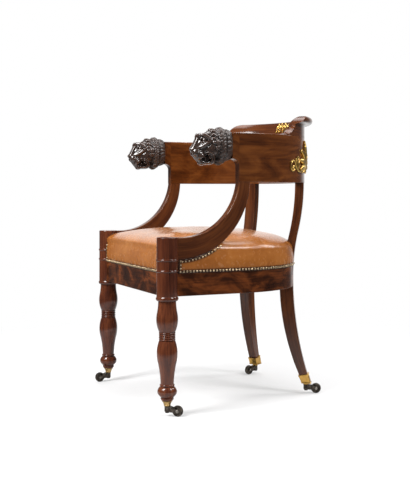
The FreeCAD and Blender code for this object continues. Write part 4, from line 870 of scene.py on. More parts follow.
def crestSection():
    # corners (radius, height) of the section above the back, in millimetres, as one closed run
    look = crestSet
    inner, outer = innerRadius / millimetre, outerRadius / millimetre
    tall = (crestHigh.z - crestLow.z) / millimetre
    edge, nose = outer + look["rollReach"], look["rollThickness"] / 2
    under = tall - look["rollThickness"]
    coveFoot, coveTop = (outer, under - look["cove"]), (outer + look["cove"], under)
    low, high = under - look["rollSlope"], tall - look["rollSlope"]
    foot, top = (inner, look["faceHeight"]), (inner + look["lean"], tall)
    rows = look["flatRows"]
    return np.concatenate([
        columnOf(0.0, np.linspace(inner, outer, rows)[:-1])[:, ::-1],
        columnOf(outer, np.linspace(0, coveFoot[1], rows)[:-1]),
        arcPoints(coveFoot, coveTop, -look["cove"], rows)[:-1],
        [(coveTop[0] + look["underRun"], under - look["rollSlope"] / 2)],
        arcPoints((edge - nose, low), (edge, low + nose), nose, rows)[:-1],
        arcPoints((edge, low + nose), (edge - nose, high), nose, rows),
        [(top[0] + past, tall - drop) for past, drop in look["sag"]],
        arcPoints(top, foot, sweepRadius(foot, top), look["faceRows"])[:-1],
        columnOf(inner, np.linspace(look["faceHeight"], 0, look["footRows"])[:-1])])


def crestRings():
    # the section at each angle, its height cut to -s log(exp(-h / s) + exp(-limit / s)) under the ramp's ogee
    look = crestSet
    outline = crestSection()
    tall = outline[:, 1].max()
    half, rise = look["rampLength"] / 2, tall - look["lip"]
    ogee = (look["rampLength"] ** 2 + rise ** 2) / (4 * rise)
    turn = np.radians(np.linspace(-look["halfAngle"], look["halfAngle"], look["rows"]))[:, None]
    radius, height = outline[:, 0][None], outline[:, 1][None]
    # distance past the middle of the ramp, along its tangent
    past = radius * np.sin(np.abs(turn) - math.radians(look["rampAngle"]))
    upper = tall - (ogee - np.sqrt(ogee ** 2 - np.clip(past + half, 0, half) ** 2))
    lower = look["lip"] + ogee - np.sqrt(ogee ** 2 - np.clip(half - past, 0, half) ** 2)
    limit = np.where(past < 0, upper, lower)
    limit = np.where(past < -half, tall + look["clear"], limit)
    cutHeight = -look["soften"] * np.logaddexp(-height / look["soften"], -limit / look["soften"])
    # what is cut lies between the inner face and the outside at that height
    levels = np.linspace(0, tall, look["levels"])
    near = [outline[np.abs(outline[:, 1] - level) < look["near"], 0] for level in levels]
    low, high = [np.interp(cutHeight, levels, [end(run) for run in near]) for end in (np.min, np.max)]
    cutRadius = np.where(height > limit, np.clip(np.broadcast_to(radius, low.shape), low, high), radius)
    turn = np.broadcast_to(turn, cutRadius.shape)
    cutRadius, cutHeight = cutRadius * millimetre, cutHeight * millimetre
    rings = around(backCentre, cutRadius, turn, np.maximum(cutHeight, 0) + crestLow.z)
    grain = np.stack([turn * halfWidth, cutRadius - cutRadius.mean(), cutHeight], -1)
    return rings, grain


rings, grain = crestRings()
ringPiece("crestRail", rings, frameWood, "mahogany", ["crest_rail"], grain=grain + crestSet["grainShift"],
          wear=np.zeros(rings.shape[:2]))
print("crest rolled")


# lion heads carved on the front ends of the back, in millimetres as (across, forward, up) from the joint
headSet = dict(base=0.680, low=(0.0, -3.0, -9.0), high=(44.0, 130.0, 108.0), cell=0.85, axis=56.0,
               face=(50.0, 68.0), hairEnd=23.0, hairFade=1.4, hairHeight=1.7, hairSink=0.9, hairCount=7.5,
               hairBend=(0.5, 0.16), grooves=((2.0, 25.0, 2.4), (1.4, 49.0, 3.0)))
# ovals from the nape to the nose: forward, half width, underside, top
headRows = [(-3, 13, 19, 88), (0, 14, 18, 90), (6, 21, 15, 94), (14, 27, 12, 97.5), (24, 30, 10, 99),
            (34, 30.5, 10, 99.5), (46, 29, 15, 98), (60, 27, 20, 95.5), (76, 24, 24, 90), (90, 19, 24, 84),
            (102, 13, 24, 77), (108, 10, 26, 69), (114, 8, 29, 58), (119, 7, 33, 49), (123, 5, 37, 45),
            (126, 2, 40, 42)]
# lumps: (across, forward, up), (radii), softness, tilt of the front upwards
headLumps = [
    ((0, 101, 74), (8, 7, 9), 5, 0), ((0, 98, 38), (16, 17, 18), 7, 0), ((19, 64, 44), (12, 18, 20), 8, 0),
    ((0, 62, 14), (17, 16, 11), 8, 10), ((0, 77, 8), (15, 20, 8.5), 6, 6),
    ((0, 90, 4.5), (12.5, 9, 7.5), 4, 0),
    ((0, 117, 40.5), (11, 7, 7), 3, 0), ((8.5, 106, 33), (10.5, 13, 12.5), 3, 0),
    ((12.5, 97, 22.5), (9.5, 11, 10.5), 4, 0),
]
# hollows, in the same way: eye socket, mouth, nostril
headHollows = [((19.5, 91, 67), (9, 10.5, 7.5), 3, 0), ((0, 81, 13.0), (60, 17, 5.6), 3, 4),
               ((5.5, 124, 37), (3.4, 4.2, 2.8), 2, 0)]
# rods: spots (across, forward, up), radii, softness
headRods = [
    ([(2, 104, 77), (11, 99, 81), (19, 90, 80), (25, 79, 74), (28, 70, 66)], (3.0, 4.8, 5.4, 4.2, 1.6), 6),
    ([(4.4, 101, 70), (5.2, 108, 57), (5.6, 114.5, 44)], (6.2, 5.8, 6.2), 2),
    ([(12, 102, 44), (18, 93, 49), (23.5, 81, 57), (26, 70, 62)], (2.4, 4.8, 5.2, 2.0), 6),
]
# cuts, in the same way: beside the bridge, under the cheekbone, behind the brow, the parting of the lip
headCuts = [
    ([(11.5, 103, 66), (12.2, 110, 56), (13, 116, 46)], (3.0, 2.8, 1.6), 2.5),
    ([(16, 101, 39), (22, 90, 43.5), (28, 78, 52), (31, 70, 60)], (1.6, 2.4, 2.4, 1.4), 2),
    ([(8, 93, 88), (19, 82, 87), (27, 70, 79)], (0.6, 1.2, 0.8), 2.5),
    ([(0, 127, 36), (0, 122, 26), (0, 116, 17)], (1.1, 1.3, 1.1), 1.5),
]
headEye = ((15.5, 87, 66.5), (6.6, 6.6, 5.6), 1)
headLids = [
    ([(8.5, 98, 66), (14, 94.5, 72), (20, 86, 72.5), (24.5, 77.5, 67)], (1.6, 2.4, 2.4, 1.4), 1.2),
    ([(9, 98, 62.5), (14.5, 95, 60), (20.5, 87, 60.5), (24.5, 78, 64.5)], (1.4, 2.1, 2.1, 1.3), 1.2),
]
headTeeth = [([(9.5, 96, 17), (10, 95, 6.5)], (2.7, 0.8), 1), ([(7, 90, 4), (7.4, 91, 12.5)], (2.4, 0.7), 1),
             ([(13, 84, 18), (13.5, 84, 12.5)], (2.2, 1.2), 1)]
headTongue = ((0, 79, 12), (7, 20, 8.5), 2, False, 4)
headLowerLip = ([(3, 112, 28), (5, 104, 18), (6, 97, 11), (7, 91, 5)], (4.6, 5.0, 5.4, 5.0), 3)
# ridges round the corner of the mouth and the cuts between them: radius, thickness, cutting
lipSet = dict(ridges=((9.5, 2.2, False), (14.5, 2.6, False), (19.5, 2.4, False),
                      (12.0, 1.2, True), (17.0, 1.2, True)), arc=(-30, 128, 12), corner=(78, 14), flat=0.95,
              soft=1.2)
whiskerSet = dict(heights=(29, 34, 39), run=(97, 113, 6), slope=0.12, middle=98, radii=(0.6, 1.1, 0.6),
                  soft=1.0)
# a knob at the face that sweeps back into a tail
lockSet = dict(angles=(4, 22, 41, 61, 82), start=64, length=13, sweep=13, steps=7, lift=(0.9, 1.6),
               radii=(4.8, 4.6, 3.8, 2.2), soft=2.0)
coilSet = dict(spots=((84, 53, -1), (107, 53, 1)), size=6.4, thick=3.0, turns=1.45, lift=0.8)
# long locks behind, each an S from the groove to the neck
ruffSet = dict(angles=range(-3, 165, 15), bend=(6.3, 9.0), start=46, length=18, steps=9, lift=(1.3, 0.6),
               radii=(2.4, 4.2, 4.8, 4.2, 2.4), soft=1.8)
beardLump = ((9, 36, 12), (10, 13, 9.5), 4)
beardCurl = ((9, 38, 16), (1, 0.1, -0.35), 6.4, 3.2, 1.5, 0.2)
beardLock = ([(4, 47, 12), (4.5, 46, 5), (5, 40, 1.5), (6, 33, 3)], (3.0, 4.0, 3.8, 2.4), 1.5)


def ringSpot(head, degrees, forward):
    # the skin of the head at an angle from the top about its axis, and the way out there
    turn = math.radians(degrees)
    out = np.array([math.sin(turn), 0, math.cos(turn)])
    return head.skin((0, forward, headSet["axis"]), out), out


def headGrooves(head):
    # strands on the neck: ripples |sin(n a)| of the angle round the axis, behind a groove exp(-(d / w)^2);
    # a second groove parts ruff and face
    look = headSet
    across, forward, up = np.meshgrid(*head.axes, indexing="ij", sparse=True)
    turn = np.arctan2(across, up - look["axis"])
    neck = 1 / (1 + np.exp((forward - look["hairEnd"]) / look["hairFade"]))
    bend, pace = look["hairBend"]
    wave = np.abs(np.sin(turn * look["hairCount"] + bend * np.sin(forward * pace)))
    head.field -= (neck * (look["hairHeight"] * wave - look["hairSink"])).astype(np.float32)
    grooves = sum(deep * np.exp(-((forward - spot) / wide) ** 2) for deep, spot, wide in look["grooves"])
    head.field += grooves.astype(np.float32)


def headLines(head):
    # lips on arcs round the mouth's corner and whisker lines on the muzzle, laid on the skin from the middle
    look = lipSet
    forward, up = look["corner"]
    for radius, thick, cutting in look["ridges"]:
        arc = np.radians(np.linspace(*look["arc"]))
        spots = [head.skin((0, forward - radius * math.sin(a), up + radius * look["flat"] * math.cos(a)),
                           rightSide)
                 for a in arc]
        head.strand(spots, (0.8, thick, thick, thick * 0.6), look["soft"], cutting)
    look = whiskerSet
    for height in look["heights"]:
        spots = [head.skin((0, f, height + (f - look["middle"]) * look["slope"]), rightSide)
                 for f in np.linspace(*look["run"])]
        head.strand(spots, look["radii"], look["soft"], cutting=True)


def headHair(head):
    # locks run over the skin at angles about the head's axis that turn as they go back
    look = lockSet
    for degrees in look["angles"]:
        spots = []
        for t in np.linspace(0, 1, look["steps"]):
            spot, out = ringSpot(head, degrees + look["sweep"] * t ** 1.5, look["start"] - look["length"] * t)
            spots.append(spot + out * (look["lift"][0] - look["lift"][1] * t))
        head.strand(spots, look["radii"], look["soft"])
    look = coilSet
    for degrees, forward, hand in look["spots"]:
        out = ringSpot(head, degrees, forward)[1]
        head.curl((0, forward, headSet["axis"]), out, look["size"], look["thick"], look["turns"],
                  look["lift"], hand)
    look = ruffSet
    for number, degrees in enumerate(look["angles"]):
        spots = []
        for t in np.linspace(0, 1, look["steps"]):
            bend = look["bend"][number % 2] * math.sin(2 * math.pi * t)
            spot, out = ringSpot(head, degrees + bend, look["start"] - look["length"] * t)
            spots.append(spot + out * (look["lift"][0] * math.sin(math.pi * t) ** 0.7 - look["lift"][1]))
        head.strand(spots, look["radii"], look["soft"])


def lionHead():
    # half a head from across = 0: the skull, then what is cut, then what is laid on it, and its mirror
    head = Carving(headSet)
    head.loft(headRows)
    for centre, radii, soft, tilt in headLumps:
        head.ball(centre, radii, soft, tilt=tilt)
    for rod in headRods:
        head.strand(*rod)
    headGrooves(head)
    for centre, radii, soft, tilt in headHollows:
        head.ball(centre, radii, soft, cutting=True, tilt=tilt)
    for cut in headCuts:
        head.strand(*cut, cutting=True)
    head.ball(*headEye)
    for lid in headLids:
        head.strand(*lid)
    headLines(head)
    for tooth in headTeeth:
        head.strand(*tooth)
    head.ball(*headTongue)
    head.strand(*headLowerLip)
    headHair(head)
    head.ball(*beardLump)
    head.curl(*beardCurl)
    head.strand(*beardLock)
    head.whole()
    return head.surface()


headPoints, headQuads, headRelief = lionHead()
headPolish = partWay(headPoints[:, 1], *headSet["face"])
for name, side in sides.items():
    across, forward, up = headPoints.T * millimetre
    points = np.stack([side * (across + halfWidth), headJoint - forward, up + headSet["base"]], -1)
    makePiece(f"lionHead_{name}", points, headQuads, noFaces, carvedWood, "dark_carving",
              [f"lion_head_{name}"], sharp=180, relief=headRelief, polish=headPolish)
print("heads carved:", len(headPoints))


# gilt mounts, drawn flat as (along, out, up) in millimetres and then bent onto the wood
def rounded(spots, times=3):
    # corners cut away again and again: each stretch keeps its points at a quarter and three quarters
    spots = np.array(spots, float)
    for _ in range(times):
        near, far = spots[:-1] * 0.75 + spots[1:] * 0.25, spots[:-1] * 0.25 + spots[1:] * 0.75
        middle = np.stack([near, far], 1).reshape(-1, spots.shape[1])
        spots = np.concatenate([spots[:1], middle, spots[-1:]])
    return spots


petalSet = dict(angles=(78, 52, 26, 0), shorter=0.4, start=0.06, steps=10, bend=16, soft=1.2, groove=0.022)


def addPalmette(mount, look):
    # petals that fan out from a foot, the outer ones shorter, their tips turned outwards and grooved
    petal, height, out = petalSet, look["height"], look["out"]
    radii = np.array(look["petals"]) * height
    t = np.linspace(petal["start"], 1, petal["steps"])
    thick = np.interp(t, np.linspace(0, 1, len(radii)), radii)[:, None]
    for degrees in petal["angles"]:
        length = height * (1 - petal["shorter"] * degrees / petal["angles"][0])
        turn = np.radians(degrees + petal["bend"] * (degrees > 0) * t ** 2)
        spots = np.stack([length * t * np.sin(turn), out + out * 0.5 * np.sin(math.pi * t),
                          look["foot"] + length * t * np.cos(turn)], -1)
        mount.strand(spots, radii, petal["soft"])
        top = spots + np.array([0, 1, 0]) * thick
        mount.strand(top[1:-1], (0.4, height * petal["groove"], 0.4), 0.8, cutting=True)


def addStem(mount, spots, out, radii, soft=0.8):
    # a strand through spots (along, up) at one height above the wood
    along, up = np.array(spots, float).T
    mount.strand(np.stack([along, np.full(len(along), out), up], -1), radii, soft)


backMountSet = dict(low=(0, -2.4, 22), high=(126, 15, 134), cell=0.8, foot=44.0, height=80.0, out=1.4,
                    gap=0.15, petals=(0.035, 0.080, 0.098, 0.088, 0.040),
                    balls=(((0, 2, 44), (9, 7, 8), 1.5), ((0, 2, 36), (5, 5, 4.5), 1.2)),
                    lobes=((50, 9, 3.0), (58, 10, 3.2), (66, 7, 2.6)), lobeOut=2.0, lobeFoot=1.6,
                    lobeTip=0.55, buds=((30, 46), (46, 40), (108, 43), (90, 68)), budOut=2, bud=(3.2, 4, 3.2))
backTendril = [(5, 47), (22, 45), (38, 36), (56, 32), (72, 35), (86, 47), (92, 60), (101, 65),
               (112, 61), (117, 50), (113, 38), (103, 33), (95, 38), (96, 47), (104, 49), (106, 43)]
tendrilRadii = (3.2, 2.9, 2.7, 2.5, 2.3, 2.6)
# leaves: spots (along, up), height above the wood, radii, softness
backLeaf = ([(72, 38), (75, 52), (77, 75)], 2.4, (1.8, 4.6, 2.2), 1.0)
startLeaves = (([(14, 44), (26, 54), (34, 66), (42, 70)], 2.2, (2.2, 4.2, 3.4, 1.4), 1.0),
               ([(18, 42), (24, 34), (33, 29)], 2.0, (2.0, 3.4, 1.4), 1.0))
# a lobe's spots: along, share of its spread, up from its height
lobeSpots = ((75, 0, -5), (76, 0.6, 0), (76, 1, 6))


def backMountShape():
    # half a mount: a palmette, a coiling tendril with buds and a leaf of lobes inside, and two more leaves
    look = backMountSet
    mount = Carving(look)
    addPalmette(mount, look)
    for ball in look["balls"]:
        mount.ball(*ball)
    addStem(mount, rounded(backTendril), 1.8, tendrilRadii, 1.0)
    addStem(mount, *backLeaf)
    for height, spread, thick in look["lobes"]:
        for reach in (spread, -spread):
            lobe = [(along + reach * share, height + up) for along, share, up in lobeSpots]
            addStem(mount, lobe, look["lobeOut"], (look["lobeFoot"], thick, thick * look["lobeTip"]))
    for along, up in look["buds"]:
        mount.ball((along, look["budOut"], up), look["bud"], 0.8)
    for leaf in startLeaves:
        addStem(mount, *leaf)
    mount.whole()
    return mount.surface(reach=2, gain=1.4)


crestMountSet = dict(low=(0, -2.1, 20), high=(68, 9, 62), cell=0.6, foot=31.0, height=28.0, out=0.9, gap=0.15,
                     petals=(0.05, 0.095, 0.115, 0.10, 0.05), ball=((0, 1.5, 31), (4.5, 3.6, 3.6), 1.0),
                     scrolls=((8, 1.0), (27, 0.92), (44, 0.78)), budAt=(10.5, 1.4, 44), bud=(2.4, 2.8, 2.4))
# along from the scroll's start, and up
crestSpiral = np.array([(0, 34), (9, 31), (17, 34), (20, 42), (16, 49), (8, 49), (5, 43), (9, 39), (12, 43)])
spiralRadii = (2.0, 2.2, 1.9, 1.7)
crestLeaves = (([(17, 46), (19, 53), (24, 56)], 1.4, (1.2, 2.6, 1.0)),
               ([(12, 32), (16, 27), (22, 26)], 1.2, (1.2, 2.2, 0.9)))
crestStem = ([(0, 27.5), (62, 29.5)], 0.8, (1.4, 1.2))


def crestMountShape():
    # half a mount: a palmette and scrolls that get smaller, each with a bud and two leaves, on a thin stem
    look = crestMountSet
    mount = Carving(look)
    addPalmette(mount, look)
    mount.ball(*look["ball"])
    along, above, up = look["budAt"]
    for start, size in look["scrolls"]:
        place, scale = np.array([start, 0]), np.array([size, 1])
        addStem(mount, rounded(place + crestSpiral * scale), 1.2, spiralRadii)
        mount.ball((start + along * size, above, up), look["bud"], 0.8)
        for spots, out, radii in crestLeaves:
            addStem(mount, place + np.array(spots) * scale, out, radii)
    addStem(mount, *crestStem)
    mount.whole()
    return mount.surface(reach=2, gain=1.6)


def stileLean():
    # angle from +Y at which a rear leg meets the back, seen from the centre of the back
    reach, turn = stileReach(), math.radians(sabreSet["angle"])
    return math.atan2(reach * math.sin(turn), reach * math.cos(turn) - (backCentre - seatCentre))


flatPoints, mountQuads, mountRelief = backMountShape()
for name, side in sides.items():
    turn = side * stileLean() + flatPoints[:, 0] * millimetre / outerRadius
    radius = outerRadius + (flatPoints[:, 1] + backMountSet["gap"]) * millimetre
    points = around(backCentre, radius, turn, yokeLow.z + flatPoints[:, 2] * millimetre)
    makePiece(f"backMount_{name}", points, mountQuads, noFaces, giltFinish, "gilt_bronze",
              [f"back_mount_{name}"], sharp=180, relief=mountRelief)

flatPoints, mountQuads, mountRelief = crestMountShape()
# the rolled face is an arc in section: height above its foot is bend * sin(lean)
faceFoot, faceTop = crestSet["faceHeight"], (crestHigh.z - crestLow.z) / millimetre
bend = sweepRadius((0, faceFoot), (crestSet["lean"], faceTop))
lean = np.arcsin(np.clip((flatPoints[:, 2] - faceFoot) / bend, -1, 1))
outwards = bend + flatPoints[:, 1] + crestMountSet["gap"]
radius = innerRadius + (bend - outwards * np.cos(lean)) * millimetre
turn = flatPoints[:, 0] * millimetre / (innerRadius + 0.5 * crestSet["lean"] * millimetre)
height = crestLow.z + (faceFoot + outwards * np.sin(lean)) * millimetre
points = around(backCentre, radius, turn, height)
makePiece("crestMount", points, mountQuads, noFaces, giltFinish, "gilt_bronze", ["crest_mount"], sharp=180,
          relief=mountRelief)
print("mounts cast")


# the stuffed seat under leather: rings of the seat's plan from the nailed edge up over the crown
seatSet = dict(edge=0.446, crown=0.505, span=0.210, swell=0.0032, lip=0.458, lipPower=1.6, corner=0.012,
               growth=0.4, fall=1.2, wallRows=26, crownRows=70, lidRows=12, front=90, cornerColumns=16,
               side=90, rear=200, band=0.0085, bandRise=0.0010, gap=0.0006,
               under=((0.0062, 0.0046), (0.0004, 0.0034)), wave=0.0016, wavePace=(23, 19, 11, 31),
               wavePhase=(0.7, 1.9), hollow=0.0045, hollowAt=(0.085, -0.02), hollowSize=(0.08, 0.12),
               pull=0.0005, pullAt=0.013, pullWidth=0.007, pullPace=(1.3, 0.17, 2), armRoom=(0.004, 0.078),
               seamFade=0.0022, postBite=0.002, slides=30, slide=0.002)


def legReach(x, y, side):
    # how far a place lies out along a rear leg's direction, and how far aside of it
    outward, sideways = sabreFrame(side)
    local = np.stack([x, y - seatCentre], -1)
    return local @ outward[:2], np.abs(local @ sideways[:2])


def armLevel(edge, y):
    # height of an arm's edge at a place along the seat
    return np.interp(y, edge[:, 0] * millimetre + seatCentre, edge[:, 1] * millimetre)


def seatPlan(inset, frontInset):
    # the seat's plan drawn in from the rails: front edge, round corner, straight side, half circle, and back
    look = seatSet
    radius = seatRadius - inset
    front = railFront + frontInset
    corner = look["corner"] + look["growth"] * max(inset, 0)
    turn = np.linspace(0, math.pi / 2, look["cornerColumns"], endpoint=False)
    rear = np.linspace(0, math.pi, look["rear"], endpoint=False)
    along = np.linspace(0, 1, look["side"], endpoint=False)
    across = np.linspace(corner - radius, radius - corner, look["front"], endpoint=False)
    length = seatCentre - front - corner
    return np.concatenate([
        columnOf(front, across)[:, ::-1],
        np.stack([radius - corner + corner * np.sin(turn), front + corner - corner * np.cos(turn)], -1),
        columnOf(radius, front + corner + length * along),
        np.stack([radius * np.cos(rear), seatCentre + radius * np.sin(rear)], -1),
        columnOf(-radius, seatCentre - length * along),
        np.stack([-radius + corner - corner * np.cos(turn), front + corner - corner * np.sin(turn)], -1)])


def seatRings():
    # a wall that swells by sin(pi t), then a crown on an ellipse; at the front it turns over a crisp lip,
    # where the inset is span * (1 - sqrt(1 - h^p)), with h the share of the height above the lip
    look = seatSet
    base = railHigh.z
    # rows: height, inset, inset at the front, fall to the rear, share of the crown; the underside is first
    levels = [(base + rise, inset, inset, 0.0, -1.0) for rise, inset in look["under"]]
    for row in range(look["wallRows"]):
        t = row / look["wallRows"]
        height = base + (look["edge"] - base) * t
        out = look["swell"] * math.sin(math.pi * t)
        # the nailed band along the lower edge stands a little proud
        if height - base < look["band"]:
            out += look["bandRise"]
        levels.append((height, -out, -out, look["fall"] * t, 0.0))
    rise = look["crown"] - look["edge"]
    for row in range(look["crownRows"] + 1):
        turn = math.pi / 2 * row / look["crownRows"]
        lean = 1 - math.cos(turn)
        height = look["edge"] + rise * math.sin(turn)
        above = max(height - look["lip"], 0) / (look["crown"] - look["lip"])
        front = 1 - math.sqrt(max(1 - above ** look["lipPower"], 0))
        levels.append((height, look["span"] * lean, look["span"] * front, look["fall"], math.sin(turn)))
    rings, crown = [], []
    for height, inset, frontInset, fall, share in levels:
        plan = seatPlan(inset, frontInset)
        drop = (plan[:, 1] - legLine) * math.tan(math.radians(fall))
        rings.append(np.column_stack([plan, height - drop]))
        crown.append(np.full(len(plan), share))
    # the lid closes to one point over the middle
    lid = rings[-1]
    for row in range(1, look["lidRows"]):
        rings.append(lid + (lid.mean(0) - lid) * row / look["lidRows"])
        crown.append(np.ones(len(lid)))
    return np.array(rings), np.array(crown)


# the hide swells as cloth over pressure
clothSet = dict(voxel=0.006, pressure=4.0, frames=20, quality=6, mass=0.3, tension=25.0, bending=2.0,
                held=(0.066, 0.104), sink=0.004, cap=0.006, near=6, nearest=0.3)


def clothMoves(points, quads, tris):
    # rest places of a remeshed copy, and how far each moves when pressure fills it with its lower edge held
    look = clothSet
    scene = bpy.context.scene
    mesh = bpy.data.meshes.new("seatDraft")
    mesh.from_pydata(points.tolist(), [], quads.tolist() + tris.tolist())
    draft = placed("seatDraft", mesh)
    remesh = draft.modifiers.new("remesh", "REMESH")
    remesh.mode, remesh.voxel_size = "VOXEL", look["voxel"]
    even = bpy.data.meshes.new_from_object(draft.evaluated_get(bpy.context.evaluated_depsgraph_get()))
    draft.modifiers.clear()
    draft.data = even
    rest = np.empty(len(even.vertices) * 3, np.float32)
    even.vertices.foreach_get("co", rest)
    rest = rest.reshape(-1, 3).astype(float)
    held = draft.vertex_groups.new(name="held")
    grip = 1 - partWay(rest[:, 2] - railHigh.z, *look["held"])
    for number, weight in enumerate(grip):
        held.add([number], float(weight), "REPLACE")
    cloth = draft.modifiers.new("cloth", "CLOTH")
    hide = cloth.settings
    hide.quality, hide.mass = look["quality"], look["mass"]
    hide.tension_stiffness = hide.compression_stiffness = look["tension"]
    hide.shear_stiffness, hide.bending_stiffness = look["tension"] / 3, look["bending"]
    hide.use_pressure, hide.uniform_pressure_force = True, look["pressure"]
    hide.effector_weights.gravity = 0
    hide.vertex_group_mass = "held"
    cloth.point_cache.frame_start, cloth.point_cache.frame_end = 1, look["frames"]
    for number in range(1, look["frames"] + 1):
        scene.frame_set(number)
    shape = draft.evaluated_get(bpy.context.evaluated_depsgraph_get())
    after = np.empty(rest.size, np.float32)
    shape.data.vertices.foreach_get("co", after)
    scene.frame_set(1)
    bpy.data.objects.remove(draft)
    for used in (mesh, even):
        bpy.data.meshes.remove(used)
    return rest, after.reshape(-1, 3) - rest


def swollen(rings, crown):
    # the grid sunk a little, then moved with its nearest cloth points, weighted by 1 / distance, up to a cap
    look = clothSet
    small = rings.copy()
    small[..., 2] -= look["sink"] * np.maximum(crown, 0)
    points, quads, tris, _ = capped(small)
    rest, moves = clothMoves(points, quads, tris)
    far = np.linalg.norm(moves, axis=1, keepdims=True)
    moves *= np.minimum(1, look["cap"] / np.maximum(far, 1e-9))
    tree = kdtree.KDTree(len(rest))
    for number, place in enumerate(rest):
        tree.insert(place, number)
    tree.balance()
    result = small.reshape(-1, 3)
    for number, place in enumerate(result.copy()):
        found = tree.find_n(place, look["near"])
        share = np.array([1 / (distance + look["voxel"] * look["nearest"]) for _, _, distance in found])
        result[number] += share @ moves[[index for _, index, _ in found]] / share.sum()
    gain = (result - rings.reshape(-1, 3))[:, 2] / millimetre
    print(f"hide swollen: {len(rest)} cloth points, rise {gain.min():.1f} to {gain.max():.1f} mm")
    return result.reshape(rings.shape)


def seatSurface():
    # the rings with uneven stuffing, swollen, pulled above the nails and drawn clear; the painted edge shade
    # is exp(-d / fade), with d the distance past the band from the nearest nailed edge
    look = seatSet
    rings, crown = seatRings()
    x, y, z = np.moveaxis(rings, -1, 0)
    # a few slow waves, and two shallow hollows where the seat is used
    full = np.maximum(crown, 0)
    (paceX, paceY, slantX, slantY), (phaseX, phaseY) = look["wavePace"], look["wavePhase"]
    waves = np.sin(x * paceX + phaseX) * np.sin(y * paceY + phaseY) + np.sin(x * slantX - y * slantY)
    z += full * look["wave"] * waves
    (aside, back), (wide, long) = look["hollowAt"], look["hollowSize"]
    hollow = np.exp(-((np.abs(x) - aside) / wide) ** 2 - ((y - seatCentre - back) / long) ** 2)
    z -= look["hollow"] * hollow * full ** 2
    rings = swollen(rings, crown)
    x, y, z = np.moveaxis(rings, -1, 0)
    # short pulls in the hide above the nails
    column = np.arange(x.shape[1])[None]
    pull = np.exp(-((z - railHigh.z - look["pullAt"]) / look["pullWidth"]) ** 2)
    pace, drift, swing = look["pullPace"]
    pull = np.where(crown < 0, 0, pull * np.sin(column * pace + np.sin(column * drift) * swing))
    away = unit(np.stack([x, y - seatCentre], -1))
    rings[..., :2] += away * (pull * look["pull"])[..., None]
    clearSeat(rings, crown)
    # nailed edges: the rails, the arms over the side walls, and the posts
    inside, ahead = look["armRoom"]
    underArm = (np.abs(x) > halfWidth - inside) & (y < seatCentre - ahead)
    edge = np.minimum(z - railHigh.z, np.where(underArm, armLevel(armLower, y) - z, 1))
    post = np.hypot(np.abs(x) - halfWidth, y - legLine) - postRadius
    edge = np.minimum(edge, post + look["postBite"])
    # painted shade: a near-black band along the nailed edges, under the arms and beside the posts
    seam = np.exp(-np.maximum(edge - look["band"], 0) / look["seamFade"]) * (crown <= 0)
    return rings, np.maximum(crown, 0), seam


def clearSeat(rings, crown):
    # the hide is drawn back from the posts, the arms and the rear legs that pass it
    look = seatSet
    gap = look["gap"]
    x, y, z = np.moveaxis(rings, -1, 0)
    for side in sides.values():
        # post: points inside it slide towards the middle of the seat until they are clear
        radius = postRadius - look["postBite"] + gap
        for _ in range(look["slides"]):
            inside = np.hypot(x - side * halfWidth, y - legLine) < radius
            toMiddle = unit(seatMiddle[:2] - rings[..., :2])
            rings[..., :2] += np.where(inside[..., None], toMiddle * look["slide"], 0)
        # arm: the wall stops under its lower edge, the crown stops at its inner face
        under, over = armLevel(armLower, y) - gap, armLevel(armUpper, y)
        face = halfWidth - backThickness / 2 - gap
        beside = (side * x > face) & (z > under) & (z < over)
        beside &= (y < armLower[-1, 0] * millimetre + seatCentre) & (y > legLine)
        z[:] = np.where(beside & (crown <= 0), under, z)
        x[:] = np.where(beside & (crown > 0), side * face, x)
        # rear leg: points inside its section slide inwards past its front edge
        reach, aside = legReach(x, y, side)
        frontReach = np.interp(z / millimetre, heights, frontEdge) * millimetre - gap
        inLeg = (aside < sabreSet["width"] / 2 * millimetre + gap) & (reach > frontReach)
        rings[..., :2] -= np.where(inLeg, reach - frontReach, 0)[..., None] * sabreFrame(side)[0][:2]


seatRing, seatCrown, seatEdgeShade = seatSurface()
seatPiece = ringPiece("seatLeather", seatRing, hideFinish, "tan_leather", ["seat_leather", "seat_stuffing"],
                      sharp=60, crown=seatCrown, seam=seatEdgeShade)
print("seat covered")


# under the seat: webbing in straps, five each way, woven over and under, and hessian stretched across them
webSet = dict(count=5, pitch=0.082, width=0.056, thickness=0.0017, margin=0.0065, middle=0.00215,
              weave=0.0010, flat=0.00095, ease=0.045, rows=90, columns=9, reach=(-0.35, 0.35, 1401),
              postRoom=0.032, legRoom=0.001)
hessianSet = dict(low=0.0043, high=0.0054, margin=0.006, rings=14, centre=0.04)


def clearRun(x, y):
    # true where a strap may lie: on the seat's plan, outside the posts and the rear legs
    look = webSet
    inner = seatRadius - look["margin"]
    good = np.where(y > seatCentre, np.hypot(x, y - seatCentre) < inner, np.abs(x) < inner)
    good &= y > railFront + look["margin"]
    frontReach = np.interp(railHigh.z / millimetre, heights, frontEdge) * millimetre
    for side in sides.values():
        reach, aside = legReach(x, y, side)
        good &= np.hypot(x - side * halfWidth, y - legLine) > look["postRoom"]
        legSide = sabreSet["width"] / 2 * millimetre + look["legRoom"]
        good &= (aside > legSide) | (reach < frontReach - look["legRoom"])
    return good


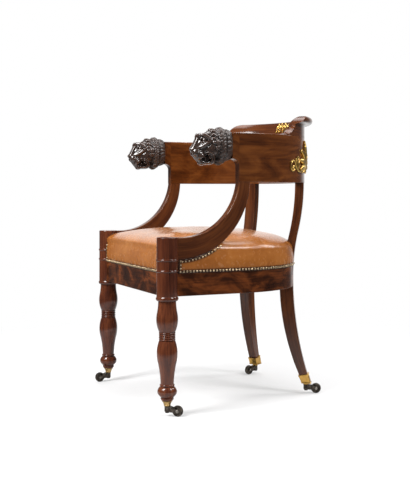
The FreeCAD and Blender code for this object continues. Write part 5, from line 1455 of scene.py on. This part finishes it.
def strapPiece(number, lengthwise):
    # a strap's rings run round its section; its height is a cosine, over and under the straps it crosses
    look = webSet
    offset = (number - (look["count"] - 1) / 2) * look["pitch"]
    place = np.linspace(-0.5, 0.5, look["columns"]) * look["width"] + offset
    reach = np.linspace(*look["reach"])
    aside, along = np.meshgrid(place, reach, indexing="ij")
    good = clearRun(aside, along + seatCentre) if lengthwise else clearRun(along, aside + seatCentre)
    first = reach[np.argmax(good, axis=1)]
    last = reach[good.shape[1] - 1 - np.argmax(good[:, ::-1], axis=1)]
    t = np.linspace(0, 1, look["rows"])[:, None]
    along = first + (last - first) * t
    sign = (1 if lengthwise else -1) * (-1) ** number
    height = look["middle"] + sign * look["weave"] * np.cos(math.pi * along / look["pitch"])
    end = partWay(np.minimum(along - first, last - along), 0, look["ease"])
    height = look["flat"] + (height - look["flat"]) * end * end * (3 - 2 * end)
    aside = np.broadcast_to(place, along.shape)
    plan = (aside, along + seatCentre) if lengthwise else (along, aside + seatCentre)
    upper, lower = [np.stack([*plan, height + half + railHigh.z], -1)
                    for half in (look["thickness"] / 2, -look["thickness"] / 2)]
    across = np.abs(np.linspace(-1, 1, look["columns"]))
    stripe = np.broadcast_to(np.concatenate([across, across]), (look["rows"], 2 * look["columns"]))
    return capped(np.concatenate([upper, lower[:, ::-1]], axis=1), stripe)


shells, stripes = [], []
for number in range(webSet["count"]):
    for lengthwise in (True, False):
        points, quads, tris, (stripe,) = strapPiece(number, lengthwise)
        shells.append((points, quads, tris))
        stripes.append(stripe)
makePiece("seatWebbing", *joined(*shells), webbingFinish, "webbing", ["seat_webbing"],
          stripe=np.concatenate(stripes))

# the hessian grows from its middle to an outline that is drawn clear like the hide
plan = seatPlan(hessianSet["margin"], hessianSet["margin"])
outline = np.column_stack([plan, np.full(len(plan), railHigh.z + hessianSet["high"])])[None]
clearSeat(outline, np.ones((1, len(plan))))
outline = outline[0, :, :2]
grow = np.linspace(hessianSet["centre"], 1, hessianSet["rings"])[:, None, None]
layer = seatMiddle[:2] + (outline - seatMiddle[:2]) * grow
lower, upper = [np.concatenate([layer, np.full(layer.shape[:2] + (1,), railHigh.z + hessianSet[level])], -1)
                for level in ("low", "high")]
hessian = ringPiece("seatHessian", np.concatenate([lower, upper[::-1]]), hessianFinish, "hessian",
                    ["seat_hessian"])
print("webbing and hessian laid")


# domed nails along the lower edge, up beside the posts and under the arms
nailSet = dict(pitch=0.0098, radius=0.0032, rise=0.0026, height=0.0048, columns=10, rows=4, top=0.25,
               shine=(0.15, 0.5, 0.8, 1.0), endShine=(0.0, 1.0), postRoom=0.0345, legRoom=0.0225, legFrom=0.1,
               corner=0.004, proud=0.0012, frontProud=0.0016, armRun=(36, -78), armDrop=0.0062,
               postFrom=0.013, postAside=0.0335, armGap=0.004, edgeGap=0.002)


def spacedAlong(path, pitch):
    # points at even steps along a path
    length = np.concatenate([[0], np.cumsum(np.linalg.norm(np.diff(path, axis=0), axis=1))])
    count = max(int(length[-1] / pitch), 1)
    at = np.linspace(0, length[-1], count + 1)
    return np.stack([np.interp(at, length, path[:, axis]) for axis in range(3)], -1)


def nailDomes(spots, outward):
    # each dome is rise * cos(turn) out and radius * sin(turn) round its spot
    look = nailSet
    turn = np.linspace(math.pi / 2, look["top"], look["rows"])[:, None, None]
    ring = np.linspace(0, 2 * math.pi, look["columns"], endpoint=False)[:, None]
    shells = []
    for spot, out in zip(spots, outward):
        aside = unit(np.cross(out, upward))
        circle = np.cos(ring) * aside + np.sin(ring) * np.cross(aside, out)
        dome = spot + look["radius"] * np.sin(turn) * circle + look["rise"] * np.cos(turn) * out
        shells.append(capped(dome)[:3])
    return joined(*shells)


def edgeNails():
    # nails along the hide's lower edge, left out where a post or a rear leg stands, and the way out at each
    look = nailSet
    level = railHigh.z + look["height"]
    wall = seatRing[len(seatSet["under"]):]
    edge = wall[int(np.argmin(np.abs(wall[:, 0, 2] - level)))].copy()
    edge[:, 2] = level
    keep = np.ones(len(edge), bool)
    for side in sides.values():
        keep &= np.hypot(edge[:, 0] - side * halfWidth, edge[:, 1] - legLine) > look["postRoom"]
        reach, aside = legReach(edge[:, 0], edge[:, 1], side)
        keep &= (aside > look["legRoom"]) | (reach < look["legFrom"])
    order = np.roll(np.arange(len(edge)), -int(np.argmin(keep)))
    runs = np.split(order, np.nonzero(np.diff(keep[order]))[0] + 1)
    spots = np.concatenate([spacedAlong(edge[run], look["pitch"]) for run in runs if keep[run[0]]])
    sideways = np.sign(spots[:, :1]) * rightSide
    out = np.where(spots[:, 1:2] > seatCentre, (spots - seatMiddle) * (1, 1, 0), sideways)
    out = np.where(spots[:, 1:2] < railFront + look["corner"], (0.0, -1.0, 0.0), out)
    return spots, unit(out)


def upperNails():
    # rows under each arm and up beside each post, on the side and on the front, and the way out of each row
    look = nailSet
    first, last = postY + look["armRun"][0], look["armRun"][1]
    line = armLower[(armLower[:, 0] > first) & (armLower[:, 0] < last)] * millimetre
    rows = []
    for side in sides.values():
        wall = side * (seatRadius + look["proud"])
        path = np.column_stack([np.full(len(line), wall), line + (seatCentre, -look["armDrop"])])
        rows.append((spacedAlong(path, look["pitch"]), (side, 0.0, 0.0)))
        for x, y, top, out in (
                (wall, legLine + look["postAside"], armLow.z - look["armGap"], (side, 0.0, 0.0)),
                (side * (halfWidth - look["postAside"]), railFront - look["frontProud"],
                 seatSet["edge"] - look["edgeGap"], (0.0, -1.0, 0.0))):
            tall = np.arange(railHigh.z + look["postFrom"], top, look["pitch"])
            rows.append((np.column_stack([np.tile((x, y), (len(tall), 1)), tall]), out))
    return rows


spots, outward = edgeNails()
rows = upperNails()
spots = np.concatenate([spots] + [row for row, _ in rows])
outward = np.concatenate([outward] + [np.tile(out, (len(row), 1)) for row, out in rows])
# painted shade: each nail's rim ring goes near black through the patina mix, the rest of the dome keeps the
# metal's colour
shine = np.concatenate([np.repeat(nailSet["shine"], nailSet["columns"]), nailSet["endShine"]])
makePiece("seatNails", *nailDomes(spots, outward), nailFinish, "brass", sharp=60,
          relief=np.tile(shine, len(spots)))
print("nails set:", len(spots))


# casters: wheels turned with a dished side and a worn tread; the horn and pin keep their frame shape
wheelSet = dict(columns=64, steps=6, rub=(0.0132, 0.0147))
wheelCorners = [(2.6, -4.5, 0), (5.2, -4.5, 0.25), (5.5, -4.1, 0), (5.7, -3.0, -0.3), (10.6, -3.0, 0),
                (11.0, -4.3, 0.1), (11.4, -4.5, 0), (13.7, -4.5, 0.15), (14.2, -4.1, 0.85), (14.2, 4.1, 0.15),
                (13.7, 4.5, 0), (11.4, 4.5, 0.1), (11.0, 4.3, 0), (10.6, 3.0, -0.3), (5.7, 3.0, 0),
                (5.5, 4.1, 0.25), (5.2, 4.5, 0), (2.6, 4.5, 0)]
wheelProfile = bulgeRun(wheelCorners, wheelSet["steps"]) * millimetre
rubbed = partWay(wheelProfile[:, 0], *wheelSet["rub"])
for joint in frame["joints"]:
    if not joint["name"].startswith("wheel_spin"):
        continue
    corner = joint["name"].replace("wheel_spin_", "")
    rings = turnedRings(wheelProfile, wheelSet["columns"], joint["pos_m"], joint["axis"], upward)
    points = rings.reshape(-1, 3)
    # one row more than the profile has closes the bore
    quads = gridQuads(len(wheelProfile) + 1, wheelSet["columns"]) % len(points)
    makePiece(f"casterWheel_{corner}", points, quads, noFaces, ironFinish, "dark_wheel",
              [f"caster_wheel_{corner}"], body=f"wheel_{corner}",
              relief=np.repeat(rubbed, wheelSet["columns"]))
    for part, finish in (("horn", ironFinish), ("pintle", ironFinish), ("axle", steelFinish)):
        dressNode(f"caster_{part}_{corner}", finish)
print("casters fitted")


# brass cups under the front legs
cupSet = dict(columns=64, steps=8, shine=0.7)
cupCorners = [(3.6, 27.4, 0), (8.6, 27.4, 0.3), (9.4, 28.6, 0.3), (9.2, 30.0, -0.5), (13.2, 39.2, 0),
              (13.8, 39.4, 0.7), (13.8, 41.8, 0), (9.9, 41.9, 0)]
cupProfile = bulgeRun(cupCorners, cupSet["steps"]) * millimetre
for name, side in sides.items():
    rings = turnedRings(cupProfile, cupSet["columns"], (side * halfWidth, legLine, 0), upward, rightSide)
    ringPiece(f"frontCup_{name}", rings, brassFinish, "brass", [f"front_cup_{name}"],
              relief=np.full(rings.shape[:2], cupSet["shine"]))

# gilt shoes on the rear feet, with a rim exp(-(d / w)^2) at the top and at the foot, on a turned boss
shoeSet = dict(low=31.0, high=57.0, wall=2.2, rows=40, slope=6.0, slopeRun=0.028, slopeFrom=40.0, rim=1.0,
               rimInset=1.5, rimWidth=1.3, round=2.2, bossColumns=48, bossSteps=5, shine=0.72)
bossCorners = [(3.6, 27.4, 0), (8.2, 27.4, 0.2), (9.0, 28.4, 0), (9.0, 31.2, 0), (3.6, 31.2, 0)]
bossProfile = bulgeRun(bossCorners, shoeSet["bossSteps"]) * millimetre
bossReach = seatRadius + (sabreSet["footReach"] - sabreSet["footDepth"] / 2) * millimetre
shoeHeights = np.linspace(shoeSet["low"], shoeSet["high"], shoeSet["rows"])
run = (sabreSet["footReach"] - sabreSet["sweepReach"]) / (sabreSet["footHeight"] - sabreSet["sweepHeight"])
lowered = np.minimum(shoeHeights - sabreSet["footHeight"], 0) * run
shoeBack, shoeFront = [edge + lowered for edge in sabreEdges(np.maximum(shoeHeights, sabreSet["footHeight"]))]
rim = sum(np.exp(-((shoeHeights - level) / shoeSet["rimWidth"]) ** 2)
          for level in (shoeSet["high"] - shoeSet["rimInset"], shoeSet["low"] + shoeSet["rimInset"]))
lift = partWay(shoeHeights, shoeSet["slopeFrom"], shoeSet["high"])[:, None]
for name, side in sides.items():
    rings = sabreBar(side, shoeHeights, shoeBack, shoeFront, sabreSet["footWidth"], shoeSet["round"],
                     shoeSet["wall"] + shoeSet["rim"] * rim)[0]
    # the top edge runs up towards the back of the leg
    reach = legReach(rings[..., 0], rings[..., 1], side)[0]
    slope = shoeSet["slope"] * millimetre / shoeSet["slopeRun"]
    rings[..., 2] += lift * (reach - reach.mean(1, keepdims=True)) * slope
    pivot = bossReach * sabreFrame(side)[0] + seatMiddle
    boss = turnedRings(bossProfile, shoeSet["bossColumns"], pivot, upward, rightSide)
    points, quads, tris = joined(capped(rings)[:3], capped(boss)[:3])
    makePiece(f"rearSabot_{name}", points, quads, tris, sabotFinish, "gilt_bronze", [f"rear_sabot_{name}"],
              relief=np.full(len(points), shoeSet["shine"]))
print("cups and shoes made")

for node in ("corner_block_left", "corner_block_right", "crest_dowels"):
    dressNode(node, timberFinish)


# floor, light and camera
studioSet = dict(azimuth=65.56, distance=2.7606, aside=0.0061, eye=0.6014, focal=902.0, height=488,
                 horizon=193.1, sensor=36.0, floorSize=40.0, floorColour=(0.74, 0.74, 0.745, 1),
                 floorFade=(0.55, 1.5), floorGlow=0.30, ambient=0.60, room=0.10, backdrop=(0.72, 0.95),
                 aim=(0, 0, 0.45))
# lamps: right of the chair, towards the camera, height, size, power
lampSet = dict(keyBox=(-1.7, 1.3, 2.3, (1.0, 1.3), 100), sideBox=(1.9, 1.1, 2.5, (0.7, 0.9), 40),
               topBox=(0.2, -0.6, 2.9, (1.6, 1.6), 34), rimBox=(2.3, -0.7, 2.3, (0.7, 1.0), 26))
azimuth = math.radians(studioSet["azimuth"])
ahead = np.array([-math.sin(azimuth), math.cos(azimuth), 0])
rightward = np.array([math.cos(azimuth), math.sin(azimuth), 0])


def seenWhite(tree, kind, way, even):
    # the camera sees white; gloss and glass see that white behind the chair, where it fades to a dim room
    # beside and before it, and the other rays get an even light
    look = studioSet
    behind = tree.node("ShaderNodeVectorMath", {"operation": "DOT_PRODUCT"}, {0: way, 1: ahead},
                       output="Value")
    shown = behind.clip(*look["backdrop"]) * (1 - look["room"]) + look["room"]
    camera, glossy, through = [tree.node("ShaderNodeLightPath", output=f"Is {ray} Ray")
                               for ray in ("Camera", "Glossy", "Transmission")]
    share = (glossy.math("MAXIMUM", through) * (shown - even) + even).math("MAXIMUM", camera)
    dark, white = [tree.node(kind, inputs={"Color": (1, 1, 1, 1), "Strength": strength})
                   for strength in (0.0, 1.0)]
    return tree.node("ShaderNodeMixShader", inputs={0: share, 1: dark, 2: white})


def makeFloor():
    # white paper that glows more the further it lies from the chair
    half = studioSet["floorSize"] / 2
    mesh = bpy.data.meshes.new("floor")
    mesh.from_pydata([(-half, -half, 0), (half, -half, 0), (half, half, 0), (-half, half, 0)], [],
                     [(0, 1, 2, 3)])
    floor = placed("floor", mesh)
    paper = Finish("floorPaper")
    place = paper.place()
    far = paper.node("ShaderNodeVectorMath", {"operation": "LENGTH"}, {0: place}, output=1)
    far = far.clip(*studioSet["floorFade"]) * (1 - studioSet["floorGlow"]) + studioSet["floorGlow"]
    way = paper.node("ShaderNodeVectorMath", {"operation": "NORMALIZE"}, {0: place})
    diffuse = paper.node("ShaderNodeBsdfDiffuse", inputs={"Color": studioSet["floorColour"]})
    glow = seenWhite(paper, "ShaderNodeEmission", way, studioSet["room"])
    paper.shows("Material Output", paper.node("ShaderNodeMixShader", inputs={0: far, 1: diffuse, 2: glow}))
    mesh.materials.append(paper.owner)


def makeWorld():
    # the same white all round
    world = bpy.data.worlds.new("studio")
    bpy.context.scene.world = world
    room = Finish("studio", world)
    room.shows("World Output", seenWhite(room, "ShaderNodeBackground", room.place(), studioSet["ambient"]))


def makeLamp(name, right, near, height, size, power):
    # an area lamp turned towards the chair: its tilt and heading are the angles of the way there
    lamp = bpy.data.lights.new(name, "AREA")
    lamp.shape = "RECTANGLE"
    lamp.size, lamp.size_y = size
    lamp.energy = power
    lampObject = placed(name, lamp)
    place = rightward * right - ahead * near + np.array([0, 0, height])
    lampObject.location = place
    way = np.array(studioSet["aim"]) - place
    tilt = math.atan2(way[2], math.hypot(way[0], way[1]))
    lampObject.rotation_euler = (math.pi / 2 + tilt, 0, math.atan2(-way[0], way[1]))


def makeCamera():
    # the photo's camera: focal length and horizon in pixels of its height, fitted about the seat's centre,
    # and standing a little aside of it
    look = studioSet
    camera = bpy.data.cameras.new("camera")
    cameraObject = placed("camera", camera)
    camera.sensor_width = look["sensor"]
    camera.lens = look["focal"] / look["height"] * look["sensor"]
    camera.shift_y = -(look["height"] / 2 - look["horizon"]) / look["height"]
    place = seatMiddle - ahead * look["distance"] - rightward * look["aside"]
    cameraObject.location = (place[0], place[1], look["eye"])
    cameraObject.rotation_euler = (math.pi / 2, 0, azimuth)
    bpy.context.scene.camera = cameraObject


makeFloor()
makeWorld()
for name, lamp in lampSet.items():
    makeLamp(name, *lamp)
makeCamera()
bpy.context.scene.view_settings.view_transform = "Standard"
print("studio set")
